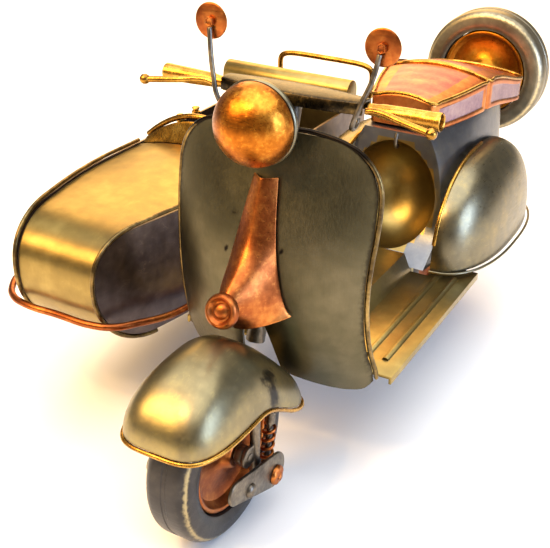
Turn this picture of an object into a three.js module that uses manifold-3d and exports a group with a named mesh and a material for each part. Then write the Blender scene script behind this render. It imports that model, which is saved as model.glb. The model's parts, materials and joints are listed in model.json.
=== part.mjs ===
// A handmade sheet-metal scooter with a sidecar, a shelf model about a foot long.
// Millimetres. +Z is up, the scooter faces -Y, and its sidecar is on the -X side.
// Every piece is laid out from the ground under the front axle; the last lines move the
// whole model so that its origin is the centre of its footprint on the ground.
import * as THREE from "three";
import { mergeVertices } from "three/addons/utils/BufferGeometryUtils.js";
import Module from "manifold-3d";

const wasm = await Module();
wasm.setup();

// ---------------------------------------------------------------- driving dimensions
const GAP = 0.3; // between pieces that touch
const SHEET = 1.1; // sheet metal

const WHEEL = { r: 34, half: 9, seat: 23.6, rim: 23.3, bore: 2.1, hub: 8.7 };
const FRONT_AXLE = { y: 0, z: WHEEL.r };
const REAR_AXLE = { y: 198, z: WHEEL.r };
const SIDE_AXLE = { x: -134, y: 170, z: WHEEL.r };
const SPARE = { y: 276, z: 105, share: 0.955 }; // share: its size beside the road wheels
const AXLE_R = 1.7;

const BAR = { y: 52, z: 151, half: 27.5, thick: 5 }; // handlebar strip
const GRIP = { y: 53, z: 150, from: 28, to: 54, r: 3.2 };
const LAMP = { y: 25.2, z: 147.6, r: 14.3, depth: 13, neck: 19.4 };
const MIRROR = { x: 32.6, y: 50, z: 172, r: 6.4 };
const STEM = { y: 52, z: 150, lean: 0.29, r: 3.5, foot: 64 }; // steering column

const SHIELD = { half: 39, top: 142, bottom: 44.4, slot: 8, slotTop: 77 };
const FLOOR = { z: 50, half: 45.4, front: 46, back: 148, tunnel: 19, rise: 8 };
const RIBS = { inner: 31, outer: 38.5, from: 60, to: 137, r: 1.5 };

const BODY = { front: 151, back: 232, bottom: 51.2, top: 107.4, half: 26.4, nose: 15.5 };
const COVER = { y: 186, z: 51.6, length: 51, height: 43.5, bulge: 22, x: 27 };
const SEAT = { front: 155, joint: 198, back: 250, nose: 14.7, mid: 25.5, tail: 29 };

const MUDGUARD = { half: 19.5, front: 38, back: 36, edge: 56, drop: 13.7, height: 22.8, flare: 3 };
const FORK = { x: 13, y: 5, r: 1.9, foot: 23, crown: 71.4, bend: 9 };
const LINK = { x: 16.9, front: [-14.5, 29.8, 4.6], rear: [12.5, 21.3, 7] };
const LINK_BOLT = { y: 12.5, z: 19.5, r: 3.9 };
const SPRING = { x: 13.4, r: 2.1, wire: 0.55, turns: 4.5, from: [12, 24.2], to: [15, 39] };

const CAR = { x: -84, half: 31, front: 16, back: 235, rim: 91, bottom: 42 };
CAR.nose = { half: 18.5, z: 72, reach: 26, under: 30 };
const COWL = { back: 115, crown: 4 };
const RAIL_R = 1.5;

// ------------------------------------------------------------------------- materials
const metal = (color, roughness) =>
  new THREE.MeshStandardMaterial({ color, roughness, metalness: 1 });
const STEEL = metal(0xa39b86, 0.4);
const COPPER = metal(0xa8683a, 0.35);
const BRASS = metal(0xc99b4e, 0.35);
const SEAT_METAL = metal(0xd08a5c, 0.35);
const TYRE = metal(0x58565a, 0.5);

// --------------------------------------------------------------------------- helpers
const rad = THREE.MathUtils.degToRad;
const lerp = THREE.MathUtils.lerp;
const smooth = THREE.MathUtils.smoothstep;
const v2 = (x, y) => new THREE.Vector2(x, y);
const v3 = (x, y, z) => new THREE.Vector3(x, y, z);

const model = new THREE.Group();

function add(name, geometry, material, parent = model) {
  const mesh = new THREE.Mesh(facingOut(geometry), material.clone());
  mesh.name = name;
  parent.add(mesh);
  return mesh;
}

// Moves every vertex of a geometry by a function.
function shaped(geometry, move) {
  const p = geometry.getAttribute("position");
  for (let i = 0; i < p.count; i++) {
    const q = move(p.getX(i), p.getY(i), p.getZ(i));
    p.setXYZ(i, q.x, q.y, q.z);
  }
  return geometry;
}

// Turns every face round if the closed geometry's faces point inwards.
function facingOut(geometry) {
  const g = geometry.index ? geometry.toNonIndexed() : geometry;
  const a = g.getAttribute("position").array;
  const [p, q, r] = [v3(0, 0, 0), v3(0, 0, 0), v3(0, 0, 0)];
  let volume = 0;
  for (let i = 0; i < a.length; i += 9)
    volume += p.fromArray(a, i).dot(q.fromArray(a, i + 3).cross(r.fromArray(a, i + 6)));
  if (volume < 0)
    for (let i = 0; i < a.length; i += 9)
      for (let k = 0; k < 3; k++) [a[i + 3 + k], a[i + 6 + k]] = [a[i + 6 + k], a[i + 3 + k]];
  return g;
}

function solid(geometry) {
  const bare = new THREE.BufferGeometry();
  bare.setAttribute("position", facingOut(geometry).getAttribute("position"));
  const m = mergeVertices(bare, 1e-3);
  return new wasm.Manifold(
    new wasm.Mesh({
      numProp: 3,
      vertProperties: m.getAttribute("position").array,
      triVerts: new Uint32Array(m.index.array),
    }),
  );
}

function fromSolid(manifold) {
  const mesh = manifold.getMesh();
  const g = new THREE.BufferGeometry();
  g.setAttribute("position", new THREE.BufferAttribute(new Float32Array(mesh.vertProperties), 3));
  g.setIndex(new THREE.BufferAttribute(new Uint32Array(mesh.triVerts), 1));
  return g;
}

const cut = (a, ...tools) =>
  fromSolid(tools.reduce((left, tool) => left.subtract(solid(tool)), solid(a)));
const join = (a, ...more) =>
  fromSolid(more.reduce((left, piece) => left.add(solid(piece)), solid(a)));
const within = (a, b) => fromSolid(solid(a).intersect(solid(b)));

// A thick sheet over a surface f(u, v), with u and v from 0 to 1 and its thickness along n(u, v).
function sheet(nu, nv, f, thick) {
  const e = 1e-3;
  return shaped(
    new THREE.BoxGeometry(1, 1, 1, nu, nv, 1),
    (x, y, z) => {
      const u = x + 0.5;
      const v = y + 0.5;
      const p = f(u, v);
      const du = f(Math.min(u + e, 1), v).sub(f(Math.max(u - e, 0), v));
      const dv = f(u, Math.min(v + e, 1)).sub(f(u, Math.max(v - e, 0)));
      return p.add(du.cross(dv).normalize().multiplyScalar(z * thick));
    },
  );
}

// A round bar along a smooth line through points.
function bar(points, r, sides = 8, steps = 12) {
  const section = new THREE.Shape(
    Array.from({ length: sides }, (_, i) => {
      const a = (i / sides) * 2 * Math.PI;
      return v2(r * Math.cos(a), r * Math.sin(a));
    }),
  );
  const extrudePath = new THREE.CatmullRomCurve3(points, false, "centripetal");
  return new THREE.ExtrudeGeometry(section, { steps, extrudePath, bevelEnabled: false });
}

// A bar bent into a closed loop: at(a) is the loop's line for an angle a, and its section
// lies in the plane of the outward direction and the loop's own axis.
function loop(at, outward, axis, r, sides = 6, steps = 40) {
  const big = 10;
  return shaped(new THREE.TorusGeometry(big, r, sides, steps), (x, y, z) => {
    const a = Math.atan2(y, x);
    const out = Math.hypot(x, y) - big;
    return at(a).addScaledVector(outward(a), out).addScaledVector(axis, z);
  });
}

// A turned piece about the X axis, from its (radius, x) outline.
const turnedX = (outline, segments) =>
  new THREE.LatheGeometry(outline.map(([r, x]) => v2(r, x)), segments).rotateZ(-Math.PI / 2);

// A turned piece about the Y axis, from its (radius, y) outline, listed with y growing.
const turnedY = (outline, segments) =>
  new THREE.LatheGeometry(outline.map(([r, y]) => v2(r, y)), segments);

// A plate across X: an outline in (y, z) and its thickness along X from x.
const plateX = (shape, x, thick) =>
  new THREE.ExtrudeGeometry(shape, { depth: thick, bevelEnabled: false, curveSegments: 6 })
    .rotateX(Math.PI / 2)
    .rotateZ(Math.PI / 2)
    .translate(x, 0, 0);

// ---------------------------------------------------------------------------- wheels
function tyre() {
  const { r, half, seat } = WHEEL;
  const side = [
    [seat, half - 1.2],
    [r - 7, half],
    [r - 2.2, half - 1.6],
    [r, half - 4.5],
  ];
  const other = side.map(([a, b]) => [a, -b]).reverse();
  return turnedX([...other, ...side, other[0]], 32);
}

function rim() {
  const { rim: R, bore, hub } = WHEEL;
  const side = [
    [bore, hub],
    [5.5, hub],
    [8, 5.4],
    [17, 3.2],
    [21.4, 7],
    [R, 7],
  ];
  const other = side.map(([a, b]) => [a, -b]).reverse();
  return turnedX([...side, ...other, side[0]], 20);
}

function wheel(name, at) {
  const group = new THREE.Group();
  group.position.copy(at);
  model.add(group);
  add(name + "_tyre", tyre(), TYRE, group);
  add(name + "_rim", rim(), COPPER, group);
  return group;
}

function wheels() {
  wheel("front", v3(0, FRONT_AXLE.y, FRONT_AXLE.z));
  wheel("rear", v3(0, REAR_AXLE.y, REAR_AXLE.z));
  wheel("side", v3(SIDE_AXLE.x, SIDE_AXLE.y, SIDE_AXLE.z));
  const spare = wheel("spare", v3(0, SPARE.y, SPARE.z));
  spare.rotation.z = Math.PI / 2;
  spare.scale.setScalar(SPARE.share);
}

const axleBar = (x0, x1, y, z, r = AXLE_R) =>
  new THREE.CylinderGeometry(r, r, x1 - x0, 12)
    .rotateZ(Math.PI / 2)
    .translate((x0 + x1) / 2, y, z);

function axles() {
  // The front axle carries a hexagon nut on each side of the wheel.
  const { y, z } = FRONT_AXLE;
  const nut = (x) => new THREE.CylinderGeometry(4.1, 4.1, 2.9, 6)
    .rotateZ(Math.PI / 2)
    .translate(x, y, z);
  add("front_axle", join(axleBar(-14.3, 14.3, y, z), nut(10.55), nut(-10.55)), STEEL);
  add(
    "side_axle",
    join(
      axleBar(SIDE_AXLE.x - 11, -60, SIDE_AXLE.y, SIDE_AXLE.z),
      axleBar(SIDE_AXLE.x - 12, SIDE_AXLE.x - 9.2, SIDE_AXLE.y, SIDE_AXLE.z, 3.6),
    ),
    STEEL,
  );
}

// ------------------------------------------------------------------------ front fork
// One bar bent over the wheel, with a lug at each foot that holds the axle.
function fork(y0, axle, crown, foot) {
  const { x, r, bend } = FORK;
  const bent = bar(
    [
      v3(-x, y0, foot),
      v3(-x, y0, (foot + crown) / 2),
      v3(-x, y0, crown - bend),
      v3(-x + bend * 0.3, y0, crown - bend * 0.3),
      v3(-x + bend, y0, crown),
      v3(x - bend, y0, crown),
      v3(x - bend * 0.3, y0, crown - bend * 0.3),
      v3(x, y0, crown - bend),
      v3(x, y0, (foot + crown) / 2),
      v3(x, y0, foot),
    ],
    r,
    6,
    16,
  );
  const lug = new THREE.Shape()
    .moveTo(0, -4)
    .lineTo(y0 - axle.y, -4)
    .lineTo(y0 - axle.y, 4)
    .lineTo(0, 4)
    .absarc(0, 0, 4, Math.PI / 2, 1.5 * Math.PI);
  lug.holes.push(new THREE.Path().absarc(0, 0, AXLE_R + 0.25, 0, 2 * Math.PI, true));
  const lugs = [-x - 0.9, x - 0.7].map((at) => plateX(lug, at, 1.6).translate(0, axle.y, axle.z));
  return join(bent, ...lugs);
}

// The rear wheel's fork hangs from under the seat, with its axle welded in.
function rearFork() {
  const { y, z } = REAR_AXLE;
  const ends = [-15.4, 13.4].map((x) => axleBar(x, x + 2, y, z, 3.2));
  const bent = fork(y + 5, REAR_AXLE, 103, 30);
  add("rear_fork", join(bent, axleBar(-14.5, 14.5, y, z), ...ends), STEEL);
}

// The tapered plate outside each fork leg, two round ends joined by straight edges.
function linkShape() {
  const [ay, az, ar] = LINK.front;
  const [by, bz, br] = LINK.rear;
  const along = Math.atan2(bz - az, by - ay);
  const tilt = Math.acos((ar - br) / Math.hypot(by - ay, bz - az));
  return new THREE.Shape()
    .absarc(ay, az, ar, along + tilt, along - tilt + 2 * Math.PI, false)
    .absarc(by, bz, br, along - tilt, along + tilt, false);
}

function frontEnd() {
  add("front_fork", fork(FORK.y, FRONT_AXLE, FORK.crown, FORK.foot), STEEL);
  for (const [side, name] of [[1, "left"], [-1, "right"]]) {
    const x = (at, thick) => (side > 0 ? at : -at - thick);
    const shape = linkShape();
    const { y, z, r } = LINK_BOLT;
    shape.holes.push(new THREE.Path().absarc(y, z, 1.7, 0, 2 * Math.PI, true));
    const rivet = new THREE.Shape().absarc(-5.5, 24.8, 2.8, 0, 2 * Math.PI);
    add(
      "link_" + name,
      join(plateX(shape, x(LINK.x - 0.6, 1.2), 1.2), plateX(rivet, x(LINK.x - 1, 2.6), 2.6)),
      STEEL,
    );
    const head = axleBar(x(LINK.x + 0.9, 1.6), x(LINK.x + 0.9, 1.6) + 1.6, y, z, r);
    const shank = axleBar(x(11.4, 6.6), x(11.4, 6.6) + 6.6, y, z, 1.3);
    add("link_bolt_" + name, join(head, shank), COPPER);
    spring(side, name);
  }
}

// The damper: an eye round the bolt, a rod up to the mudguard, and a coil spring round it.
function spring(side, name) {
  const { y, z } = LINK_BOLT;
  const { r, wire, turns, from, to } = SPRING;
  const x = side * SPRING.x;
  const eye = new THREE.Shape().absarc(y, z, 3, 0, 2 * Math.PI);
  eye.holes.push(new THREE.Path().absarc(y, z, 1.6, 0, 2 * Math.PI, true));
  const rod = bar([v3(x, y + 0.4, z + 2.3), v3(x, 14, 33), v3(x, 16.2, 44)], 1, 8, 3);
  const cap = bar([v3(x, to[0] + 0.1, to[1] + 0.8), v3(x, to[0] + 1.1, to[1] + 5)], 1.9, 8, 1);
  add("damper_" + name, join(plateX(eye, x - 1.1, 2.2), rod, cap), STEEL);
  class Coil extends THREE.Curve {
    getPoint(t, target = v3(0, 0, 0)) {
      const a = t * turns * 2 * Math.PI;
      return target.set(
        x + r * Math.cos(a),
        lerp(from[0] + 0.7, to[0] - 0.2, t) + r * Math.sin(a),
        lerp(from[1], to[1], t),
      );
    }
  }
  const section = new THREE.Shape(
    [0, 1, 2, 3].map((i) => v2(wire * Math.cos(rad(90 * i)), wire * Math.sin(rad(90 * i)))),
  );
  add(
    "spring_" + name,
    new THREE.ExtrudeGeometry(section, {
      steps: 36,
      extrudePath: new Coil(),
      bevelEnabled: false,
    }),
    BRASS,
  );
}

const guardEdge = (y) => MUDGUARD.edge - MUDGUARD.drop * smooth(y, -2, 30);

// A point of the mudguard: a turn about the wheel's upright, a share of the plan's reach and a
// share of the height. The plan is a rounded rectangle, and its rear corners flare outwards.
function guardPoint(turn, out, up) {
  const { half, front, back, height, flare } = MUDGUARD;
  const [c, s] = [Math.cos(turn), Math.sin(turn)];
  const n = s < 0 ? 4 : 6;
  const reach = out / (Math.abs(c) ** n + Math.abs(s) ** n) ** (1 / n);
  const y = reach * s * (s < 0 ? front : back);
  const wide = half + flare * smooth(y, 8, 30) * Math.max(1 - up, 0) ** 3;
  return v3(reach * c * wide, y, guardEdge(y) + up * height);
}

function mudguard() {
  const steps = 6;
  const dome = (scale, flip) => {
    const arc = Array.from({ length: steps + 1 }, (_, i) => {
      const a = rad(90 * (i / steps));
      return [scale * Math.sin(a), scale * Math.cos(a)];
    });
    return flip ? arc.reverse() : arc;
  };
  const thin = 1 - SHEET / MUDGUARD.half;
  const outline = [...dome(thin), ...dome(1, true)].map(([r, z]) => v2(Math.max(r, 0), z));
  const shell = shaped(new THREE.LatheGeometry(outline, 28), (x, z, y) =>
    guardPoint(Math.atan2(y, x), Math.hypot(x, y), z));
  add("mudguard", shell, STEEL);
  const edge = (a) => guardPoint(a, 1, 0).add(v3(0, 0, -1.1));
  const outward = (a) => v3(Math.cos(a), Math.sin(a), 0);
  add("mudguard_bead", loop(edge, outward, v3(0, 0, 1), 0.8, 5, 28), BRASS);
}

// --------------------------------------------------------------------------- steering
const stemY = (z) => STEM.y + (z - STEM.z) * STEM.lean;

function steering() {
  const top = BAR.z - BAR.thick / 2 - STEM.r * STEM.lean - GAP;
  add(
    "steering_column",
    bar([v3(0, stemY(STEM.foot), STEM.foot), v3(0, stemY(top), top)], STEM.r, 12, 1),
    STEEL,
  );
  const plan = new THREE.Shape()
    .moveTo(-BAR.half, -2.6)
    .bezierCurveTo(-15, -6.5, 15, -6.5, BAR.half, -2.6)
    .lineTo(BAR.half, 3.4)
    .bezierCurveTo(15, 7, -15, 7, -BAR.half, 3.4)
    .closePath();
  add(
    "handlebar",
    new THREE.ExtrudeGeometry(plan, { depth: BAR.thick, bevelEnabled: false, curveSegments: 10 })
      .translate(0, BAR.y, BAR.z - BAR.thick / 2),
    BRASS,
  );
  for (const [side, name] of [[1, "left"], [-1, "right"]]) {
    const { from, to, r } = GRIP;
    const grip = turnedX(
      [
        [0, to - 4],
        [r - 0.9, to - 4],
        [r - 0.9, to],
        [r, to],
        [r - 0.1, to - 2],
        [2.5, from + 5],
        [2, from],
        [0, from],
      ],
      14,
    );
    if (side < 0) grip.rotateZ(Math.PI);
    add("grip_" + name, grip.translate(0, GRIP.y, GRIP.z), BRASS);
    const leverLine = [v3(29.6, 46.8, 151.2), v3(33, 46.6, 151.8), v3(44, 43.6, 150.9), v3(54.5, 40.8, 150)];
    const ball = new THREE.SphereGeometry(1.9, 10, 8).translate(side * 55, 40.7, 150);
    const lever = bar(leverLine.map((p) => v3(side * p.x, p.y, p.z)), 1, 8, 5);
    add("lever_" + name, join(lever, ball), BRASS);
    const m = MIRROR;
    const stalkLine = [
      v3(m.x, m.y - 1, m.z - 2.2),
      v3(m.x - 1.6, m.y - 2.6, m.z - 10),
      v3(28.5, 45.2, 154),
      v3(26.4, 44.3, 147.8),
      v3(25.4, 46.6, 144.6),
      v3(25, 51, 146.6),
    ];
    add(
      "mirror_stalk_" + name,
      bar(stalkLine.map((p) => v3(side * p.x, p.y, p.z)), 0.9, 6, 14),
      STEEL,
    );
    const disc = [
      [0, -2.6],
      [1.7, -2.6],
      [1.7, 0],
      [m.r, 0],
      [m.r, 1.1],
      [0, 1.1],
    ];
    add("mirror_" + name, turnedY(disc, 24).translate(side * m.x, m.y, m.z), COPPER);
  }
}

function headlight() {
  const { y, z, r, depth } = LAMP;
  const dome = [[0, -depth]];
  for (let i = 1; i <= 6; i++) {
    const a = rad(15 * i);
    dome.push([r * Math.sin(a), -depth * Math.cos(a)]);
  }
  dome.push([r, 0.4], [0, 0.4]);
  const place = (g) => g.translate(0, y, z);
  add("headlight_dome", place(turnedY(dome, 24)), COPPER);
  const ring = [
    [r - 2, 0.7],
    [r + 0.4, 0.7],
    [r + 0.5, 2.2],
    [r - 0.4, 3.2],
    [r - 2, 3.2],
    [r - 2, 0.7],
  ];
  const housing = [
    [0, 0.9],
    [r - 1.8, 0.9],
    [r - 1.8, 3.1],
    [r - 2.4, 3.5],
    [8.5, 6],
    [3.6, 7.4],
    [3.4, LAMP.neck],
    [0, LAMP.neck],
  ];
  add("headlight_housing", place(join(turnedY(housing, 24), turnedY(ring, 24))), STEEL);
}

// ------------------------------------------------------------------------- leg shield
// The shield's middle line and how far its sides sweep back, at a height.
const line = (table, z) => {
  for (let i = 1; i < table.length; i++)
    if (z <= table[i][0] || i === table.length - 1) {
      const [z0, a] = table[i - 1];
      const [z1, b] = table[i];
      return lerp(a, b, smooth((z - z0) / (z1 - z0), 0, 1) * 0.3 + ((z - z0) / (z1 - z0)) * 0.7);
    }
};
const SHIELD_MIDDLE = [[44, 37], [52, 34], [64, 28.5], [80, 25.5], [100, 27.5], [127, 35], [146, 40.5]];
const SHIELD_SWEEP = [[44, 11], [56, 11.5], [75, 12.5], [100, 11], [127, 5.5], [146, 2]];

function shieldY(x, z) {
  const u = Math.min(Math.abs(x) / SHIELD.half, 1.1);
  return line(SHIELD_MIDDLE, z) + line(SHIELD_SWEEP, z) * u ** 2.4;
}

// Half of the shield's outline, from its bottom corner up and over to the middle.
function shieldEdge() {
  const { half, top } = SHIELD;
  const side = [[half + 0.6, 49.5], [half + 0.6, 53], [half - 0.4, 62], [half - 1, 78]];
  side.push([half - 0.4, 95], [half, 112], [half - 0.2, 121]);
  for (let i = 1; i <= 6; i++) {
    const a = rad(15 * i);
    side.push([half - 22 + 22 * Math.cos(a) ** 0.9, 121 + (top - 121) * Math.sin(a) ** 0.9]);
  }
  return side;
}

function legShield() {
  const edge = shieldEdge();
  const outline = new THREE.Shape();
  // The foot rises towards the middle, where a slot lets the steering column through.
  const foot = [[2, 52.4], [9.7, 50.4], [13, 48.6], [19.2, 46.4], [26.7, 45], [33, SHIELD.bottom]];
  foot.push([36.5, SHIELD.bottom + 0.3], [38.7, 46.6]);
  outline.moveTo(-2, 52.5);
  for (const [x, z] of [...foot, ...edge]) outline.lineTo(x, z);
  for (const [x, z] of [...foot.slice(1), ...edge].reverse()) outline.lineTo(-x, z);
  outline.closePath();
  const arch = new THREE.Shape().absellipse(
    0, SHIELD.bottom - 4, SHIELD.slot, SHIELD.slotTop - SHIELD.bottom + 4, 0, 2 * Math.PI,
  );
  const along = (shape) =>
    new THREE.ExtrudeGeometry(shape, { depth: 80, bevelEnabled: false, curveSegments: 14 })
      .rotateX(Math.PI / 2)
      .translate(0, 90, 0);
  const blank = sheet(
    12,
    12,
    (u, v) => {
      const x = lerp(-43, 43, u);
      const z = lerp(42, 146, v);
      return v3(x, shieldY(x, z), z);
    },
    SHEET,
  );
  add("leg_shield", cut(within(blank, along(outline)), along(arch)), STEEL);
  const beadLine = [...edge, ...edge.slice(0, -1).reverse().map(([x, z]) => [-x, z])].map(
    ([x, z]) => {
      const out = v3(x, 0, Math.max(z - 121, 0)).normalize();
      const bx = x + out.x * 1.4;
      const bz = z + out.z * 1.4;
      return v3(bx, shieldY(x, z) + 0.2, bz);
    },
  );
  add("shield_bead", bar(beadLine, 0.85, 5, 32), BRASS);
}

// The tapered cover down the shield's middle, which swells to a nose with a round boss.
function hornCover() {
  const top = 127;
  const low = 76.5;
  const half = (v) => lerp(15.5, 4.6, v ** 0.55);
  const swell = (v) => 3.2 + 13 * Math.exp(-(((v - 0.24) / 0.2) ** 2)) + 5 * (1 - v) ** 2;
  add(
    "horn_cover",
    sheet(
      8,
      11,
      (u, v) => {
        const s = u * 2 - 1;
        const x = s * half(v);
        const z = lerp(low + 3 * s * s, top, v);
        const off = 0.6 + SHEET + swell(v) * (1 - Math.abs(s) ** 1.6);
        return v3(x, shieldY(x, z) - off, z);
      },
      SHEET,
    ),
    COPPER,
  );
  const boss = [
    [0, -2.2],
    [2.4, -2.0],
    [3.0, -1.2],
    [4.4, -1.2],
    [5.0, -2.2],
    [6.0, -2.0],
    [6.3, 0],
    [0, 0],
  ];
  add(
    "horn_boss",
    turnedY(boss, 24).rotateX(rad(-20)).translate(0, 4.6, 87.5),
    COPPER,
  );
}

// ------------------------------------------------------------------ floor and rear body
function floor() {
  const { z, half, front, back, tunnel, rise } = FLOOR;
  const h = SHEET;
  const long = back - front - 4;
  const middle = (back + front + 4) / 2;
  const plate = new THREE.BoxGeometry(2 * half, long, h).translate(0, middle, z - h / 2);
  const lips = [-1, 1].map((side) =>
    new THREE.BoxGeometry(h, long, 3).translate(side * (half - h / 2), middle, z - 1.6),
  );
  const arched = (inset, length) =>
    new THREE.ExtrudeGeometry(
      new THREE.Shape([
        v2(-tunnel + inset, z - h - inset),
        v2(tunnel - inset, z - h - inset),
        v2(tunnel - 4 - inset * 0.6, z + rise - inset),
        v2(-tunnel + 4 + inset * 0.6, z + rise - inset),
      ]),
      { depth: length, bevelEnabled: false },
    )
      .rotateX(Math.PI / 2)
      .translate(0, middle + length / 2, 0);
  const ribs = [-1, 1].flatMap((side) =>
    [RIBS.inner, RIBS.outer].map((x) =>
      bar([v3(side * x, RIBS.from, z - 0.3), v3(side * x, RIBS.to, z - 0.3)], RIBS.r, 8, 1),
    ),
  );
  const notch = new THREE.BoxGeometry(2 * BODY.half + 2 * GAP, 40, 40)
    .translate(0, BODY.front - 17 + 20, z + 4);
  const whole = join(plate, ...lips, arched(0, long - 0.2), ...ribs);
  add("floor", cut(whole, arched(h, long + 4), notch), STEEL);
}

// A wedge-nosed block: half-width and height are functions of (s along Y, t up).
function block(y0, y1, halfAt, zAt, ny, nx, nz) {
  return shaped(new THREE.BoxGeometry(2, 1, 1, nx, ny, nz), (x, y, z) => {
    const s = y + 0.5;
    const at = lerp(y0, y1, s);
    return v3(x * halfAt(at, z + 0.5), at, zAt(at, z + 0.5, x));
  });
}

const bodyHalf = (inset) => (y, t) => {
  const s = (y - BODY.front) / (BODY.back - BODY.front);
  const low = BODY.half - 2.5 * Math.max(1 - s * 4, 0) ** 2;
  const high = lerp(BODY.nose, 23.5, smooth(s, 0, 0.7));
  const corner = 2.5 * Math.max(s * 6 - 5, 0) ** 2;
  return lerp(low, high, t ** 4) - corner - inset;
};

function rearBody() {
  const { front, back, bottom, top } = BODY;
  const lean = (y, t) => y - 16 * Math.max(1 - t * 3.2, 0) ** 2 * Math.max(1 - (y - front) / 40, 0);
  const shell = (inset, lower) =>
    shaped(
      block(
        front + inset,
        back - inset,
        bodyHalf(inset),
        (y, t) => lerp(bottom - lower, top - inset, t),
        8,
        4,
        8,
      ),
      (x, y, z) => v3(x, lean(y, (z - bottom) / (top - bottom)), z),
    );
  const scoop = (grow) =>
    new THREE.SphereGeometry(1, 16, 10)
      .scale(21 + grow, 22 + grow, 25.2 + grow)
      .translate(0, front - 3, 78);
  const hollow = solid(shell(1.4, 4)).subtract(solid(scoop(1.4)));
  // A small hook hangs from the scoop's top edge.
  const hook = bar([v3(0, 151.6, 106.4), v3(0, 150.6, 102), v3(0, 154, 99.5)], 0.9, 6, 6);
  const body = solid(shell(0, 0)).subtract(solid(scoop(0))).subtract(hollow);
  add("rear_body", fromSolid(body.add(solid(hook))), STEEL);
}

function engineCovers() {
  const { y, z, length, height, bulge, x } = COVER;
  const power = (c, e) => Math.sign(c) * Math.abs(c) ** e;
  const rows = 6;
  for (const [side, name] of [[1, "left"], [-1, "right"]]) {
    // A quarter of a swollen ellipsoid, open at its foot and on the body's side.
    const quarter = (inset) =>
      shaped(
        new THREE.SphereGeometry(1, 16, 2 * rows),
        (px, py, pz) =>
          v3(
            side * (x + power(px, 0.85) * (bulge - inset)),
            y + power(pz, 0.8) * (length - inset),
            z + power(py, 0.8) * (height - inset),
          ),
      );
    const keep = new THREE.BoxGeometry(60, 160, 120).translate(side * (x + 30), y, z + 60);
    const outer = solid(quarter(0)).intersect(solid(keep));
    const inner = solid(quarter(SHEET));
    const flange = new THREE.Shape();
    for (let i = 0; i <= 16; i++) {
      const a = rad(-90 + (180 * i) / 16);
      const px = x + power(Math.cos(a), 0.85) * (bulge + 2);
      const py = y + power(Math.sin(a), 0.8) * (length + 2);
      flange[i ? "lineTo" : "moveTo"](side * px, py);
    }
    flange.closePath();
    const lip = new THREE.ExtrudeGeometry(flange, { depth: 1.2, bevelEnabled: false })
      .translate(0, 0, z - 0.2);
    const lipHole = new THREE.BoxGeometry(14, 76, 6).translate(side * (x + 8), y, z);
    add(
      "cover_" + name,
      fromSolid(outer.subtract(inner).add(solid(lip)).subtract(solid(lipHole))),
      STEEL,
    );
  }
}

// ------------------------------------------------------------------------------- seat
const seatTop = (y) => lerp(120.5, 122, smooth(y, 155, 198)) - 10 * smooth(y, 198, SEAT.back) ** 1.1;
const seatCrown = (y) => lerp(2.5, 4.6, smooth(y, 155, 195)) - 2.2 * smooth(y, 205, SEAT.back);
const seatFoot = (y) => 107.9 - 6.5 * smooth(y, 198, SEAT.back);

function seat() {
  const { front, joint, back, nose, mid, tail } = SEAT;
  const part = (name, y0, y1, halfAt) => {
    const make = (inset, lower) =>
      block(
        y0 + inset,
        y1 - inset,
        (y) => halfAt(y) - inset,
        (y, t, x) => {
          const top = seatTop(y) + seatCrown(y) * (1 - x * x) - inset;
          return lerp(seatFoot(y) - lower, top, t);
        },
        8,
        6,
        1,
      );
    add(name, cut(make(0, 0), make(SHEET, 3)), SEAT_METAL);
  };
  part("seat_front", front, joint - GAP / 2, (y) =>
    lerp(nose, mid, (y - front) / (joint - front)) + 1.2 * Math.sin((Math.PI * (y - front)) / 43));
  part("seat_rear", joint + GAP / 2, back, (y) =>
    lerp(mid, tail, (y - joint) / (back - joint)) - 5 * Math.max((y - back + 8) / 8, 0) ** 2);
}

// A bent arm from the body's back to a headed bolt through the spare wheel.
function spareMount() {
  const { y, z } = SPARE;
  const bolt = turnedY(
    [[0, -13], [3.4, -13], [4.2, -10.6], [4.2, -9], [AXLE_R, -9], [AXLE_R, 9.2], [4.2, 9.2],
      [3.4, 11.4], [0, 11.4]],
    14,
  ).translate(0, y, z);
  const arm = bar([v3(0, BODY.back + 0.9, 92), v3(0, BODY.back + 16, 95), v3(0, y - 12, z - 0.6)],
    3, 8, 6);
  add("spare_mount", join(arm, bolt), STEEL);
}

// ---------------------------------------------------------------------------- sidecar
const carHalf = (y) => lerp(CAR.nose.half, CAR.half, smooth(y, 8, 84) ** 0.8);

// A point of the nose's side view, with t from 0 under the nose to 1 on the rim.
function nosePoint(t) {
  const { front, rim: top, bottom, nose } = CAR;
  const a = rad(180 * t);
  const [s, c] = [Math.sin(a), Math.cos(a)];
  const reach = c < 0 ? nose.reach : nose.under;
  const rise = c < 0 ? top - nose.z : nose.z - bottom;
  const swell = c < 0 ? 0.8 : 1;
  return [front + reach * (1 - s ** swell), nose.z - Math.sign(c) * Math.abs(c) ** swell * rise];
}

// The side plate's outline in (y, z): a round nose, a level rim and a level bottom.
function carOutline() {
  const { back, rim: top, bottom } = CAR;
  const shape = new THREE.Shape().moveTo(back, bottom);
  for (let i = 0; i <= 14; i++) shape.lineTo(...nosePoint(i / 14));
  return shape.lineTo(back, top).closePath();
}

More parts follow.
